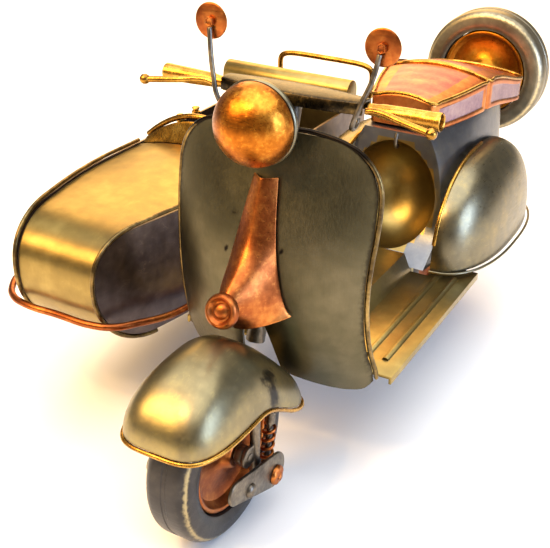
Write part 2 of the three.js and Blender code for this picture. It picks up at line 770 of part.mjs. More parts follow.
function carPlates() {
  for (const [side, name] of [[1, "inner"], [-1, "outer"]]) {
    const blank = sheet(
      16,
      1,
      (u, v) => {
        const y = lerp(CAR.front - 4, CAR.back + 2, u ** 1.4);
        return v3(CAR.x + side * carHalf(y), y, lerp(CAR.bottom - 4, CAR.rim + 4, v));
      },
      SHEET,
    );
    const outline = plateX(carOutline(), CAR.x - 50, 100);
    add("sidecar_plate_" + name, within(blank, outline), STEEL);
    // The rolled edge follows the nose a little outside it, then runs along the rim.
    const bead = Array.from({ length: 15 }, (_, i) => {
      const [y, z] = nosePoint(i / 14);
      const out = v2(y - CAR.front - CAR.nose.under, z - CAR.nose.z).normalize().multiplyScalar(1.4);
      return v3(CAR.x + side * carHalf(y), y + out.x, z + out.y);
    });
    bead.push(v3(CAR.x + side * CAR.half, 80, CAR.rim + 1.4));
    bead.push(v3(CAR.x + side * CAR.half, COWL.back, CAR.rim + 1.4));
    add("sidecar_bead_" + name, bar(bead, 0.85, 5, 24), BRASS);
  }
}

// One sheet from under the nose, up round the front and back over the rim to the cockpit.
function carCowl() {
  const curl = 0.55; // the share of the sheet that wraps the nose
  const path = (v) => {
    if (v < curl) return nosePoint(v / curl);
    const start = CAR.front + CAR.nose.reach;
    return [lerp(start, COWL.back, (v - curl) / (1 - curl)), CAR.rim];
  };
  add(
    "sidecar_cowl",
    sheet(
      6,
      22,
      (u, v) => {
        const [y, z] = path(v);
        const s = u * 2 - 1;
        const x = CAR.x + s * (carHalf(y) - 1 - GAP);
        const crown = COWL.crown * smooth(y, 30, COWL.back) * (v > 0.5 ? 1 : 0);
        return v3(x, y, z - 1 + crown * (1 - s * s));
      },
      SHEET,
    ),
    STEEL,
  );
}

function carCockpit() {
  const inner = CAR.half - SHEET / 2 - GAP;
  // The dash strip and the hoop along its rear edge.
  add(
    "sidecar_dash",
    sheet(10, 2, (u, v) => {
      const s = u * 2 - 1;
      const crown = 1 - s * s;
      const z = lerp(CAR.rim - 0.6 + COWL.crown * crown, CAR.rim + 1.6 + 12.5 * crown, v);
      return v3(CAR.x + s * (inner - 1), lerp(COWL.back + 1.3, COWL.back + 4.3, v), z);
    }, SHEET),
    BRASS,
  );
  const hoop = Array.from({ length: 11 }, (_, i) => {
    const s = -1 + (2 * i) / 10;
    return v3(CAR.x + s * (CAR.half - 1), COWL.back + 6.7, CAR.rim + 2.4 + 13.5 * (1 - s * s));
  });
  add("sidecar_hoop", bar(hoop, 1.3, 6, 16), BRASS);
  const knob = [[0, 0], [2.2, 0], [2.2, 2.4], [1.4, 3.4], [0, 3.6]];
  for (const [y, name] of [[150, "front"], [164, "rear"]])
    add(
      "sidecar_knob_" + name,
      new THREE.LatheGeometry(knob.map(([r, z]) => v2(r, z)), 12)
        .rotateX(Math.PI / 2)
        .translate(CAR.x - CAR.half, y, CAR.rim + GAP),
      BRASS,
    );
  // The backrest: a panel inside the tub with a rounded roll over the rim.
  const roll = new THREE.Shape()
    .moveTo(204, 60)
    .lineTo(206, 60)
    .lineTo(208, CAR.rim + 0.4)
    .lineTo(217, CAR.rim + 0.4)
    .lineTo(217, 101)
    .absarc(211, 101, 6, 0, Math.PI)
    .lineTo(204.4, 92)
    .closePath();
  const full = plateX(roll, -124, 74);
  const trim = [-1, 1].map((side) =>
    new THREE.BoxGeometry(30, 60, 60).translate(CAR.x + side * (inner + 15), 210, CAR.rim - 29.7),
  );
  add("sidecar_backrest", cut(full, ...trim), STEEL);
  const pan = new THREE.BoxGeometry(2 * inner - 1, CAR.back - 82, SHEET)
    .translate(CAR.x, (CAR.back + 78) / 2, CAR.bottom + 2);
  const backPlate = new THREE.BoxGeometry(2 * inner - 1, SHEET, CAR.rim - CAR.bottom - 2.2)
    .translate(CAR.x, CAR.back - 2, (CAR.rim + CAR.bottom) / 2 + 0.6);
  const hanger = new THREE.BoxGeometry(44, 12, 7.3).translate(CAR.x, SIDE_AXLE.y, 39.95);
  add("sidecar_pan", join(pan, backPlate, hanger), STEEL);
}

function carRails() {
  const { x, back, half } = CAR;
  // The grab rail behind the backrest, a rounded rectangle.
  const square = (c, e) => Math.sign(c) * Math.abs(c) ** e;
  const at = (a) =>
    v3(-79 + 28 * square(Math.cos(a), 0.35), back + 3.4, 98 + 10 * square(Math.sin(a), 0.35));
  const outward = (a) => v3(Math.cos(a), 0, Math.sin(a));
  add("grab_rail", loop(at, outward, v3(0, -1, 0), RAIL_R, 6, 28), BRASS);
  const rail = [
    v3(x + half + 2.1, 102, 50),
    v3(-48.4, 84, 50),
    v3(-48.2, 66, 50.2),
    v3(-48.4, 52, 51),
    v3(-50, 40, 52.5),
    v3(-54, 28, 54.5),
    v3(-59, 19, 55.6),
    v3(-66, 15.5, 56),
    v3(-84, 15, 56),
    v3(-100, 14.8, 56),
    v3(-109, 17.6, 56),
    v3(-116, 25, 56),
    v3(-120, 34, 56),
    v3(-121, 48, 56),
    v3(-120, 66, 56),
    v3(-118.5, 86, 56),
    v3(x - half - 2.1, 104, 56),
  ];
  add("bumper_rail", bar(rail, RAIL_R, 6, 28), BRASS);
  // Two struts hold the tub to the scooter: one under the floor, one under the rear body.
  const ends = [
    ["front", 84, -24, FLOOR.z - SHEET],
    ["rear", 162, -23.4, BODY.bottom],
  ];
  for (const [name, y, end, top] of ends) {
    const low = 43.6;
    const line = [
      v3(x + half + SHEET, y, low),
      v3(end - 5, y, low),
      v3(end, y, low + 1.8),
      v3(end, y, top - GAP),
    ];
    add("strut_" + name, bar(line, 2, 8, 10), STEEL);
  }
}

// --------------------------------------------------------------------------- assembly
wheels();
axles();
frontEnd();
mudguard();
steering();
headlight();
legShield();
hornCover();
floor();
rearBody();
engineCovers();
seat();
rearFork();
spareMount();
carPlates();
carCowl();
carCockpit();
carRails();

const scooter = new THREE.Group();
scooter.add(model);
const box = new THREE.Box3().setFromObject(scooter);
model.position.set(-(box.min.x + box.max.x) / 2, -(box.min.y + box.max.y) / 2, -box.min.z);

export default scooter;
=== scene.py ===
"""A handmade sheet-metal scooter with a sidecar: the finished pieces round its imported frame.

Laid out as an add-on and run as a script. Lengths in the shapes are millimetres from the ground
under the front axle, with +Y to the rear and +X to the scooter's left; at() turns them to metres.
"""
import json
import math

import bpy
import numpy as np
from mathutils import Matrix, Vector

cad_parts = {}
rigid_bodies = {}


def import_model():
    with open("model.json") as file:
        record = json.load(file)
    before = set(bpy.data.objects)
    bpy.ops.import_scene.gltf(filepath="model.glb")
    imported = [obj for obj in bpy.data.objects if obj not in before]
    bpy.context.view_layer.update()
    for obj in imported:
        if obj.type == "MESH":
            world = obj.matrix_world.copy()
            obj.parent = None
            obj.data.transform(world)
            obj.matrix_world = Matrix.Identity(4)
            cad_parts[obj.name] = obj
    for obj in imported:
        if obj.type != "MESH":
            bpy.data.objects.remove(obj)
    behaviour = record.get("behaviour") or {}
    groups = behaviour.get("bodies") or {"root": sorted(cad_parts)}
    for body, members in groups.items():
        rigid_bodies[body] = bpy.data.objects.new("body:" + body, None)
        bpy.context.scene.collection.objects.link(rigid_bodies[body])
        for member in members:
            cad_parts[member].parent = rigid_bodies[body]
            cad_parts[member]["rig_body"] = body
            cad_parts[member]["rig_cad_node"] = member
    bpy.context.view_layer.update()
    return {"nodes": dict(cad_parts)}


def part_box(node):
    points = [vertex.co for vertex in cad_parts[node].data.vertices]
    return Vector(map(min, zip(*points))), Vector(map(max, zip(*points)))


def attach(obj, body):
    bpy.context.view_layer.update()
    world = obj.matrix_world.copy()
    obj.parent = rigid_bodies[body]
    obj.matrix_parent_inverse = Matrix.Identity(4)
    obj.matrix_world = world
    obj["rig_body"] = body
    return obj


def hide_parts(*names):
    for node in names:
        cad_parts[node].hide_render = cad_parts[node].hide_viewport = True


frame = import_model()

bl_info = {
    "name": "Sheet-metal scooter with sidecar",
    "version": (1, 0, 0),
    "blender": (4, 5, 0),
    "location": "3D View > Sidebar > Scooter",
    "description": "Builds the finished pieces of a handmade metal scooter and its sidecar",
    "category": "Object",
}

MM = 0.001
TYRE_LOW, TYRE_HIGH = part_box("front_tyre")
ORIGIN = Vector(((TYRE_LOW.x + TYRE_HIGH.x) / 2, (TYRE_LOW.y + TYRE_HIGH.y) / 2, 0))
SIDES = ((1, "left"), (-1, "right"))


# ------------------------------------------------------------------ places and numbers
def at(x, y, z):
    """A place in millimetres from the ground under the front axle, in the frame's metres."""
    return ORIGIN + Vector((x, y, z)) * MM


def middle(node):
    """The middle of a CAD node, in millimetres from the ground under the front axle."""
    low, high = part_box(node)
    return ((low + high) / 2 - ORIGIN) / MM


def size(node):
    """A CAD node's size along each axis, in millimetres."""
    low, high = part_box(node)
    return (high - low) / MM


def lerp(a, b, t):
    return a + (b - a) * t


def smooth(x, low, high):
    t = min(max((x - low) / (high - low), 0), 1)
    return t * t * (3 - 2 * t)


def power(c, e):
    return math.copysign(abs(c) ** e, c)


def arc(cx, cy, radius, start, end, steps):
    """Points along a round stretch of an outline, with its angles in degrees."""
    turns = [math.radians(lerp(start, end, i / steps)) for i in range(steps + 1)]
    return [(cx + radius * math.cos(a), cy + radius * math.sin(a)) for a in turns]


def linear(colour):
    """An sRGB hex colour as linear RGBA."""
    parts = [int(colour[i : i + 2], 16) / 255 for i in (0, 2, 4)]
    return tuple(c / 12.92 if c <= 0.04045 else ((c + 0.055) / 1.055) ** 2.4 for c in parts) + (1.0,)


# --------------------------------------------------------------------- modelling steps
def deselect():
    if bpy.context.object and bpy.context.object.mode != "OBJECT":
        bpy.ops.object.mode_set(mode="OBJECT")
    bpy.ops.object.select_all(action="DESELECT")


def activate(obj):
    deselect()
    obj.select_set(True)
    bpy.context.view_layer.objects.active = obj
    return obj


def edit(obj, select="DESELECT"):
    activate(obj)
    bpy.ops.object.mode_set(mode="EDIT")
    bpy.ops.mesh.select_all(action=select)


def edit_keep(obj):
    """Edit mode with the faces that are already chosen."""
    activate(obj)
    bpy.ops.object.mode_set(mode="EDIT")
    bpy.ops.mesh.select_mode(type="FACE")


def leave():
    bpy.ops.object.mode_set(mode="OBJECT")


def added(name):
    """Names the primitive that was just added and puts its place into its mesh."""
    obj = bpy.context.object
    obj.name = name
    obj.data.name = name
    bpy.ops.object.transform_apply(location=True, rotation=True, scale=True)
    return obj


def modify(obj, kind, **settings):
    """Adds a modifier, sets it and applies it."""
    activate(obj)
    bpy.ops.object.modifier_add(type=kind)
    modifier = obj.modifiers[-1]
    for key, value in settings.items():
        setattr(modifier, key, value)
    bpy.ops.object.modifier_apply(modifier=modifier.name)
    return obj


def moved(obj, place):
    """Moves each corner of a mesh to place(x, y, z)."""
    for v in obj.data.vertices:
        v.co = place(*v.co)
    return obj


def outward(obj):
    """Merges doubled corners and turns every face outwards."""
    edit(obj, "SELECT")
    bpy.ops.mesh.remove_doubles(threshold=1e-6)
    bpy.ops.mesh.dissolve_degenerate(threshold=1e-7)
    bpy.ops.mesh.delete_loose()
    bpy.ops.mesh.select_all(action="SELECT")
    bpy.ops.mesh.normals_make_consistent(inside=False)
    leave()
    return obj


def bevelled(obj, width=0.3, segments=2, angle=35):
    return modify(
        obj,
        "BEVEL",
        width=width * MM,
        segments=segments,
        limit_method="ANGLE",
        angle_limit=math.radians(angle),
    )


def softened(obj, levels=1):
    return modify(obj, "SUBSURF", levels=levels, render_levels=levels)


def thickened(obj, thickness):
    return modify(obj, "SOLIDIFY", thickness=thickness * MM, offset=0)


def grid(name, across, along, place):
    """A bent sheet: a grid with each corner moved to place(u, v), with u and v from -1 to 1."""
    deselect()
    bpy.ops.mesh.primitive_grid_add(x_subdivisions=across, y_subdivisions=along, size=2)
    return moved(added(name), lambda u, v, w: at(*place(u, v)))


def block(name, low, high, cuts=0):
    """A box between two corners, with its faces cut into smaller ones."""
    deselect()
    bpy.ops.mesh.primitive_cube_add(size=2)
    obj = added(name)
    if cuts:
        edit(obj, "SELECT")
        bpy.ops.mesh.subdivide(number_cuts=cuts)
        leave()
    return moved(obj, lambda x, y, z: at(*(lerp(a, b, (c + 1) / 2) for a, b, c in zip(low, high, (x, y, z)))))


def disc(name, centre, axis, radius, thickness, around=32):
    """A round plate or bar along an axis, from its middle."""
    deselect()
    turn = {"X": (0, math.pi / 2, 0), "Y": (math.pi / 2, 0, 0), "Z": (0, 0, 0)}[axis]
    bpy.ops.mesh.primitive_cylinder_add(
        vertices=around,
        radius=radius * MM,
        depth=thickness * MM,
        location=at(*centre),
        rotation=turn,
    )
    return added(name)


def spun(name, outline, centre, axis, steps=64):
    """A turned piece: a closed (radius, height) outline spun about an axis through a centre."""
    deselect()
    bpy.ops.mesh.primitive_circle_add(vertices=len(outline), fill_type="NOTHING")
    obj = added(name)
    middle_point = at(*centre)
    for v, (r, h) in zip(obj.data.vertices, outline):
        spot = {"X": (h, r, 0), "Y": (r, h, 0), "Z": (r, 0, h)}[axis]
        v.co = middle_point + Vector(spot) * MM
    edit(obj, "SELECT")
    direction = {"X": (1, 0, 0), "Y": (0, 1, 0), "Z": (0, 0, 1)}[axis]
    bpy.ops.mesh.spin(steps=steps, angle=2 * math.pi, center=middle_point, axis=direction)
    leave()
    return outward(obj)


def wire(name, points, radius, closed=False, around=6, between=6, bend="AUTO"):
    """A round wire along a smooth line through points, turned into a mesh."""
    deselect()
    bpy.ops.curve.primitive_bezier_curve_add()
    obj = bpy.context.object
    obj.name = name
    curve = obj.data
    curve.splines.clear()
    spline = curve.splines.new("BEZIER")
    spline.bezier_points.add(len(points) - 1)
    for knot, point in zip(spline.bezier_points, points):
        knot.co = at(*point)
        knot.handle_left_type = bend
        knot.handle_right_type = bend
    spline.use_cyclic_u = closed
    curve.resolution_u = between
    curve.bevel_depth = radius * MM
    curve.bevel_resolution = around
    curve.use_fill_caps = not closed
    activate(obj)
    bpy.ops.object.convert(target="MESH")
    obj = bpy.context.object
    bpy.ops.object.transform_apply(location=True, rotation=True, scale=True)
    outward(obj)
    return obj if closed else bevelled(obj, radius * 0.35, 2, 60)


def joined(name, *pieces):
    """Several solids as one object."""
    activate(pieces[0])
    for piece in pieces[1:]:
        piece.select_set(True)
    bpy.ops.object.join()
    obj = bpy.context.object
    obj.name = name
    return obj


def trimmed(obj, tool, keep="DIFFERENCE"):
    """Cuts a piece with a tool piece and removes the tool."""
    modify(obj, "BOOLEAN", object=tool, operation=keep, solver="EXACT")
    bpy.data.objects.remove(tool)
    return obj


def copied(obj, name, matrix):
    """A copy with its own mesh, placed by a matrix in the frame."""
    activate(obj)
    bpy.ops.object.duplicate()
    twin = bpy.context.object
    twin.name = name
    twin.data.transform(matrix)
    if matrix.determinant() < 0:
        twin.data.flip_normals()
    return twin


def mirrored(obj, name):
    """The same piece on the scooter's other side."""
    centre = Matrix.Translation((ORIGIN.x, 0, 0))
    flip = centre @ Matrix.Scale(-1, 4, (1, 0, 0)) @ centre.inverted()
    return copied(obj, name, flip)


def finish(obj, looks, body, nodes=(), slot="raw_steel", angle=38):
    """Gives a piece its materials and smoothing, ties it to the body, and hides the CAD nodes it stands for.
    """
    activate(obj)
    bpy.ops.object.transform_apply(location=True, rotation=True, scale=True)
    bpy.ops.object.shade_smooth_by_angle(angle=math.radians(angle))
    names = [looks] if isinstance(looks, str) else looks
    for i, look in enumerate(names):
        if i < len(obj.data.materials):
            obj.data.materials[i] = material(look)
        else:
            obj.data.materials.append(material(look))
    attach(obj, body)
    if nodes:
        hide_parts(*([nodes] if isinstance(nodes, str) else nodes))
    return obj


def painted(obj, name, amount):
    """Stores amount(x, y, z), from 0 to 1, at each corner for a material to read."""
    layer = obj.data.attributes.new(name, "FLOAT", "POINT")
    for value, v in zip(layer.data, obj.data.vertices):
        value.value = min(max(amount(*((v.co - ORIGIN) / MM)), 0), 1)
    return obj


def refined(node, name, looks, slot, width=0.25, angle=35):
    """A smooth copy of a CAD node: its loose triangles merged and its edges rounded."""
    source = frame["nodes"][node]
    twin = source.copy()
    twin.data = source.data.copy()
    twin.name = name
    twin.parent = None
    bpy.context.scene.collection.objects.link(twin)
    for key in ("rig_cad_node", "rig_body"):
        if key in twin:
            del twin[key]
    body = source["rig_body"]
    twin.data.materials.clear()
    edit(twin, "SELECT")
    bpy.ops.mesh.remove_doubles(threshold=2e-6)
    bpy.ops.mesh.dissolve_limited(angle_limit=math.radians(2))
    leave()
    if width:
        bevelled(twin, width, 2, angle)
    return finish(twin, looks, body, node, slot, angle=30)


# ------------------------------------------------------------------------- materials
def node(tree, kind, settings=None, **links):
    """Adds a shader node; settings are its properties or sockets, links feed its inputs."""
    new = tree.nodes.new(kind)
    for key, value in (settings or {}).items():
        if isinstance(key, str) and hasattr(new, key):
            setattr(new, key, value)
        else:
            new.inputs[key].default_value = value
    for key, source in links.items():
        socket = new.inputs[int(key[1:])] if key[0] == "i" and key[1:].isdigit() else new.inputs[key]
        tree.links.new(source, socket)
    return new


def ramp(tree, source, stops):
    """A colour ramp with its stops as (place, linear colour)."""
    new = node(tree, "ShaderNodeValToRGB", Fac=source)
    while len(new.color_ramp.elements) < len(stops):
        new.color_ramp.elements.new(1)
    for element, (place, colour) in zip(new.color_ramp.elements, stops):
        element.position = place
        element.color = colour
    return new


def grey(value):
    return (value, value, value, 1)


def per_mm(millimetres):
    """A pattern scale that repeats about once in so many millimetres."""
    return 1 / (millimetres * MM)


def metal(
    name,
    base,
    deep,
    bright,
    rough=(0.3, 0.5),
    patch=18,
    brush=(1, 1, 0.06),
    brush_mm=0.5,
    scratch=0.35,
    speckle=0.3,
    metallic=1.0,
    worn="d9c391",
    burnt="1f1a16",
):
    """Worked metal: cloudy tint, brushed grain, stray scratches and fine pits."""
    made = bpy.data.materials.new(name)
    made.use_nodes = True
    tree = made.node_tree
    shader = tree.nodes["Principled BSDF"]
    place = node(tree, "ShaderNodeTexCoord").outputs["Object"]

    def noise(millimetres, detail, vector=place, roughness=0.5):
        settings = {"Scale": per_mm(millimetres), "Detail": detail, "Roughness": roughness}
        return node(tree, "ShaderNodeTexNoise", settings, Vector=vector).outputs["Fac"]

    def maths(operation, first, second, clamp=False):
        """A sum on two outputs, or on an output and a number."""
        settings = {"operation": operation, "use_clamp": clamp}
        if isinstance(second, float):
            settings[1] = second
            return node(tree, "ShaderNodeMath", settings, i0=first).outputs[0]
        return node(tree, "ShaderNodeMath", settings, i0=first, i1=second).outputs[0]

    def over(coat, colour, share):
        """The coat with a colour laid over it where share is high."""
        settings = {"data_type": "RGBA", 7: linear(colour)}
        return node(tree, "ShaderNodeMix", settings, i0=share, i6=coat).outputs[2]

    # Clouds of lacquer and heat tint, two sizes of them.
    wide = noise(patch, 3.0, roughness=0.55)
    fine = noise(patch / 7, 4.0)
    cloud = node(tree, "ShaderNodeMix", {"data_type": "FLOAT", 0: 0.3}, i2=wide, i3=fine)
    tint = ramp(tree, cloud.outputs[0], [(0.32, linear(deep)), (0.5, linear(base)), (0.7, linear(bright))])

    # Grain left by the brush, long one way and narrow the other.
    stretch = node(tree, "ShaderNodeMapping", {"Scale": brush}, Vector=place)
    grain = noise(brush_mm, 3.0, stretch.outputs[0], 0.6)

    # Stray scratches: thin lines where two turned, stretched noises cross their middle value.
    lines = []
    for turn, spread in (((0.3, 0.9, 0.5), 2.2), ((1.1, -0.4, -0.8), 3.1)):
        slant = node(tree, "ShaderNodeMapping", {"Rotation": turn, "Scale": (1, 0.08, 1)}, Vector=place)
        veins = noise(spread, 1.0, slant.outputs[0])
        thin = ramp(tree, veins, [(0.485, grey(0)), (0.5, grey(1)), (0.515, grey(0))])
        lines.append(thin.outputs["Color"])
    gate = ramp(tree, fine, [(0.5, grey(0)), (0.62, grey(1))])
    stray = maths("MULTIPLY", maths("MAXIMUM", *lines), gate.outputs["Color"])
    scratches = maths("MULTIPLY", stray, float(scratch))

    # Pits and dust, drawn a little coarser than life so that they show.
    dots = node(tree, "ShaderNodeTexVoronoi", {"Scale": per_mm(1.3)}, Vector=place)
    pits = ramp(tree, dots.outputs["Distance"], [(0.05, grey(1)), (0.13, grey(0))])
    sparse = ramp(tree, wide, [(0.45, grey(0)), (0.6, grey(1))])
    specks = maths("MULTIPLY", pits.outputs["Color"], sparse.outputs["Color"])
    dust = maths("MULTIPLY", specks, float(speckle))
    coat = over(over(tint.outputs["Color"], bright, scratches), deep, dust)

    # Worn edges show bare metal and stains are burnt dark, both with ragged borders.
    ragged = noise(1.6, 3.0)
    for layer, colour in (("wear", worn), ("stain", burnt)):
        drawn = node(tree, "ShaderNodeAttribute", {"attribute_name": layer}).outputs["Fac"]
        edge = ramp(tree, maths("ADD", drawn, ragged), [(0.62, grey(0)), (0.95, grey(1))])
        shown = maths("MULTIPLY", edge.outputs["Color"], drawn, clamp=True)
        coat = over(coat, colour, maths("MULTIPLY", shown, 1.6, clamp=True))
    tree.links.new(coat, shader.inputs["Base Color"])

    gloss = node(
        tree,
        "ShaderNodeMapRange",
        {"From Min": 0.3, "From Max": 0.7, "To Min": rough[0], "To Max": rough[1]},
        Value=grain,
    )
    tree.links.new(gloss.outputs[0], shader.inputs["Roughness"])

    height = maths("SUBTRACT", maths("SUBTRACT", grain, scratches), dust)
    bump = node(tree, "ShaderNodeBump", {"Strength": 0.25, "Distance": 0.08 * MM}, Height=height)
    dents = node(
        tree,
        "ShaderNodeBump",
        {"Strength": 0.5, "Distance": 0.25 * MM},
        Height=wide,
        Normal=bump.outputs[0],
    )
    tree.links.new(dents.outputs[0], shader.inputs["Normal"])
    shader.inputs["Metallic"].default_value = metallic
    return made


# Each look is a finish: what it is made of, how its surface was worked, and its tints; the dark olive, yellow
# and near-black tints also carry painted reflection and shade.
ROUND = (0.05, 1, 1)
LOOKS = {
    # Cold-rolled sheet, bare under clear lacquer; its dark olive grey is a painted reflection of the dark
    # room the shield faces.
    "olive sheet steel": dict(
        base="58533f", deep="4b4636", bright="6e6650", rough=(0.3, 0.44), patch=45, scratch=0.25,
    ),
    # The same sheet, tinted yellow: a painted reflection of the warm ceiling light.
    "golden sheet steel": dict(
        base="8f7b48", deep="7a6840", bright="ad985c", rough=(0.28, 0.42), patch=40, scratch=0.2,
    ),
    # Beaten sheet on the mudguard, warm in front and speckled all over.
    "beaten sheet steel": dict(
        base="84795a", deep="6e664d", bright="a39462", rough=(0.3, 0.42), patch=30, speckle=0.45,
    ),
    # Blue-grey sheet on the rear body.
    "blue-grey sheet steel": dict(base="6f7176", deep="5a5d63", bright="8a8678", rough=(0.3, 0.44), patch=40),
    # Sheet on the engine covers, brushed lengthways.
    "brushed sheet steel": dict(
        base="7b735c", deep="656050", bright="9a8a60", rough=(0.26, 0.4), patch=30, brush=(1, 0.06, 1),
    ),
    # Sheet with purple heat tint on the sidecar's sides.
    "heat-tinted sheet steel": dict(
        base="6b5f5b", deep="4a4040", bright="8a7768", rough=(0.3, 0.42), patch=34,
    ),
    # Rod and bar, darkened by heat and handling.
    "dark steel rod": dict(
        base="6b6358", deep="3b3631", bright="938874", rough=(0.3, 0.5), patch=9, brush_mm=0.4,
    ),
    # The handlebar's sheet, nearly black: a painted shade standing for the shadow on its underside, with
    # brass-coloured patches as painted glints.
    "blackened steel": dict(
        base="2e281f", deep="17130f", bright="6b5836", rough=(0.22, 0.4), patch=8, brush_mm=0.4,
    ),
    # Copper plate brushed by hand, with coppery orange scratches.
    "brushed copper": dict(
        base="985228", deep="71391b", bright="c47c3c", rough=(0.26, 0.44), patch=14, brush=ROUND,
        brush_mm=0.45, scratch=0.7, speckle=0.2, worn="f0b458",
    ),
    # Copper lacquered deep yellow on the lamp.
    "amber copper": dict(
        base="a8611c", deep="7a4313", bright="dd9636", rough=(0.24, 0.4), patch=12, brush=ROUND,
        brush_mm=0.45, scratch=0.8, speckle=0.3, worn="f4c060",
    ),
    # Polished brass wire and bar.
    "polished brass": dict(
        base="a97d34", deep="7c5724", bright="d2a855", rough=(0.2, 0.36), patch=8, brush_mm=0.4,
    ),
    # Dull brass round the shield and the sidecar.
    "dull brass": dict(
        base="6a5836", deep="3c3122", bright="a58a54", rough=(0.26, 0.42), patch=10, brush_mm=0.4,
    ),
    # Copper-pink plated seat skin.
    "copper seat skin": dict(
        base="b56a38", deep="974f28", bright="cf8a4c", rough=(0.3, 0.42), patch=16, speckle=0.1,
    ),
    # Mauve plated panels let into the seat's top and sides.
    "mauve seat panel": dict(
        base="98585a", deep="7a4450", bright="b87a66", rough=(0.3, 0.42), patch=12, speckle=0.1,
    ),
    "pale seat panel": dict(
        base="8e7480", deep="745d6c", bright="ab9492", rough=(0.3, 0.42), patch=10, speckle=0.1,
    ),
    # Grey enamel on the tyres, rubbed bare along the shoulders.
    "grey tyre enamel": dict(
        base="3b3939", deep="2b2a2a", bright="4d4a46", rough=(0.3, 0.46), patch=26, brush=(0.08, 1, 1),
        brush_mm=0.6, metallic=0.85, worn="b5a67c",
    ),
    # Pale enamel on the spare tyre, and its amber dish.
    "pale tyre enamel": dict(
        base="7f7662", deep="696150", bright="9c927a", rough=(0.3, 0.46), patch=20, metallic=0.9,
    ),
    "amber dish": dict(
        base="b5731f", deep="8f5716", bright="d69a3c", rough=(0.26, 0.4), patch=12, worn="e8cf8e",
    ),
}


def material(look):
    return bpy.data.materials.get(look) or metal(look, **LOOKS[look])


# ------------------------------------------------------------------------ properties
class ScooterSizes(bpy.types.PropertyGroup):
    sheet: bpy.props.FloatProperty(
        name="Sheet thickness",
        description="Thickness of the sheet metal, in millimetres",
        default=1.1,
        min=0.5,
        max=2,
    )
    bead: bpy.props.FloatProperty(
        name="Rolled edge radius",
        description="Radius of the wire in the rolled edges, in millimetres",
        default=0.9,
        min=0.5,
        max=1.5,
    )
    coil_turns: bpy.props.FloatProperty(
        name="Spring turns",
        description="Number of turns in each spring beside the front wheel",
        default=4.5,
        min=2,
        max=10,
    )


class StudioSettings(bpy.types.PropertyGroup):
    warm: bpy.props.FloatVectorProperty(
        name="Warm light",
        description="Colour of the lights over the scooter's right side",
        subtype="COLOR",
        default=linear("ffd08a")[:3],
        min=0,
        max=1,
    )
    cool: bpy.props.FloatVectorProperty(
        name="Cool light",
        description="Colour of the light on the scooter's left side",
        subtype="COLOR",
        default=linear("b9d2ff")[:3],
        min=0,
        max=1,
    )
    floor: bpy.props.FloatVectorProperty(
        name="Floor",
        description="Colour of the pale floor",
        subtype="COLOR",
        default=linear("f4f2ee")[:3],
        min=0,
        max=1,
    )


# ---------------------------------------------------------------------------- wheels
WHEEL = size("front_tyre").z / 2
HALF = size("front_tyre").x / 2
SEAT = size("front_rim").z / 2


def tyre_outline():
    """Half of the tyre's section is listed from the rim up to the tread's middle groove."""
    half = [(SEAT + 0.3, HALF - 2.6), (SEAT + 0.5, HALF - 1.2), (SEAT + 1.6, HALF - 0.4)]
    half += [(SEAT + 3.4, HALF - 0.05), (WHEEL - 6.6, HALF - 0.1)]
    half += arc(WHEEL - 4.6, HALF - 4.8, 4.6, 76, 8, 7)
    half += [(WHEEL, HALF - 6.2), (WHEEL, 1.0), (WHEEL - 0.25, 0.7)]
    return half + [(r, -h) for r, h in reversed(half)]


def rim_outline():
    """The rim's section: bore, hub, dished face and a rolled lip, then the same behind."""
    face = [
        (2.1, 8.5), (4.9, 8.7), (5.6, 8.2), (6.6, 6.4), (8.2, 5.3), (12, 4.2), (16.5, 3.3), (19.2, 3.9),
        (20.6, 5.6),
    ]
    face += arc(22.1, 6.1, 1.1, 170, 0, 6)
    return face + [(r, -h) for r, h in reversed(face)]


class SCOOTER_OT_wheels(bpy.types.Operator):
    """Turn the four wheels: tyres with worn shoulders on dished rims"""

    bl_idname = "scooter.wheels"
    bl_label = "Wheels"

    def execute(self, context):
        hub = middle("front_tyre")
        tyre = spun("front tyre", tyre_outline(), hub, "X", 96)
        rim = spun("front rim", rim_outline(), hub, "X", 72)

        def shoulder(x, y, z):
            """How near a place is to the corner between the tread and the sidewall."""
            r = math.hypot(y - hub.y, z - hub.z)
            return 0.5 * math.exp(-(((r - WHEEL + 1.9) / 0.8) ** 2)) if abs(x) > HALF - 3.5 else 0

        painted(tyre, "wear", shoulder)
        for name, body in (("rear", "rear_wheel"), ("side", "sidecar_wheel"), ("spare", "chassis")):
            to = Matrix.Translation(at(*middle(name + "_tyre")))
            turn = Matrix.Rotation(math.pi / 2, 4, "Z") if name == "spare" else Matrix.Identity(4)
            share = size(name + "_tyre").z / size("front_tyre").z
            move = to @ turn @ Matrix.Scale(share, 4) @ Matrix.Translation(-at(*hub))
            for piece, look, slot, part in (
                (tyre, "grey tyre enamel", "tyre_paint", "_tyre"),
                (rim, "brushed copper", "copper", "_rim"),
            ):
                if name == "spare":
                    look = "pale tyre enamel" if part == "_tyre" else "amber dish"
                finish(copied(piece, name + part + "_turned", move), look, body, name + part, slot)
        finish(tyre, "grey tyre enamel", "front_wheel", "front_tyre", "tyre_paint")
        finish(rim, "brushed copper", "front_wheel", "front_rim", "copper")
        tyre.name, rim.name = "front_tyre_turned", "front_rim_turned"
        return {"FINISHED"}


# ------------------------------------------------------------------------- front end
LINK_BOLT = (12.5, 19.5)
FORK = 13


def hexagon(name, centre, radius, thickness):
    """A nut with its corners turned off."""
    nut = disc(name, centre, "X", radius, thickness, 6)
    return bevelled(nut, 0.45, 2, 40)


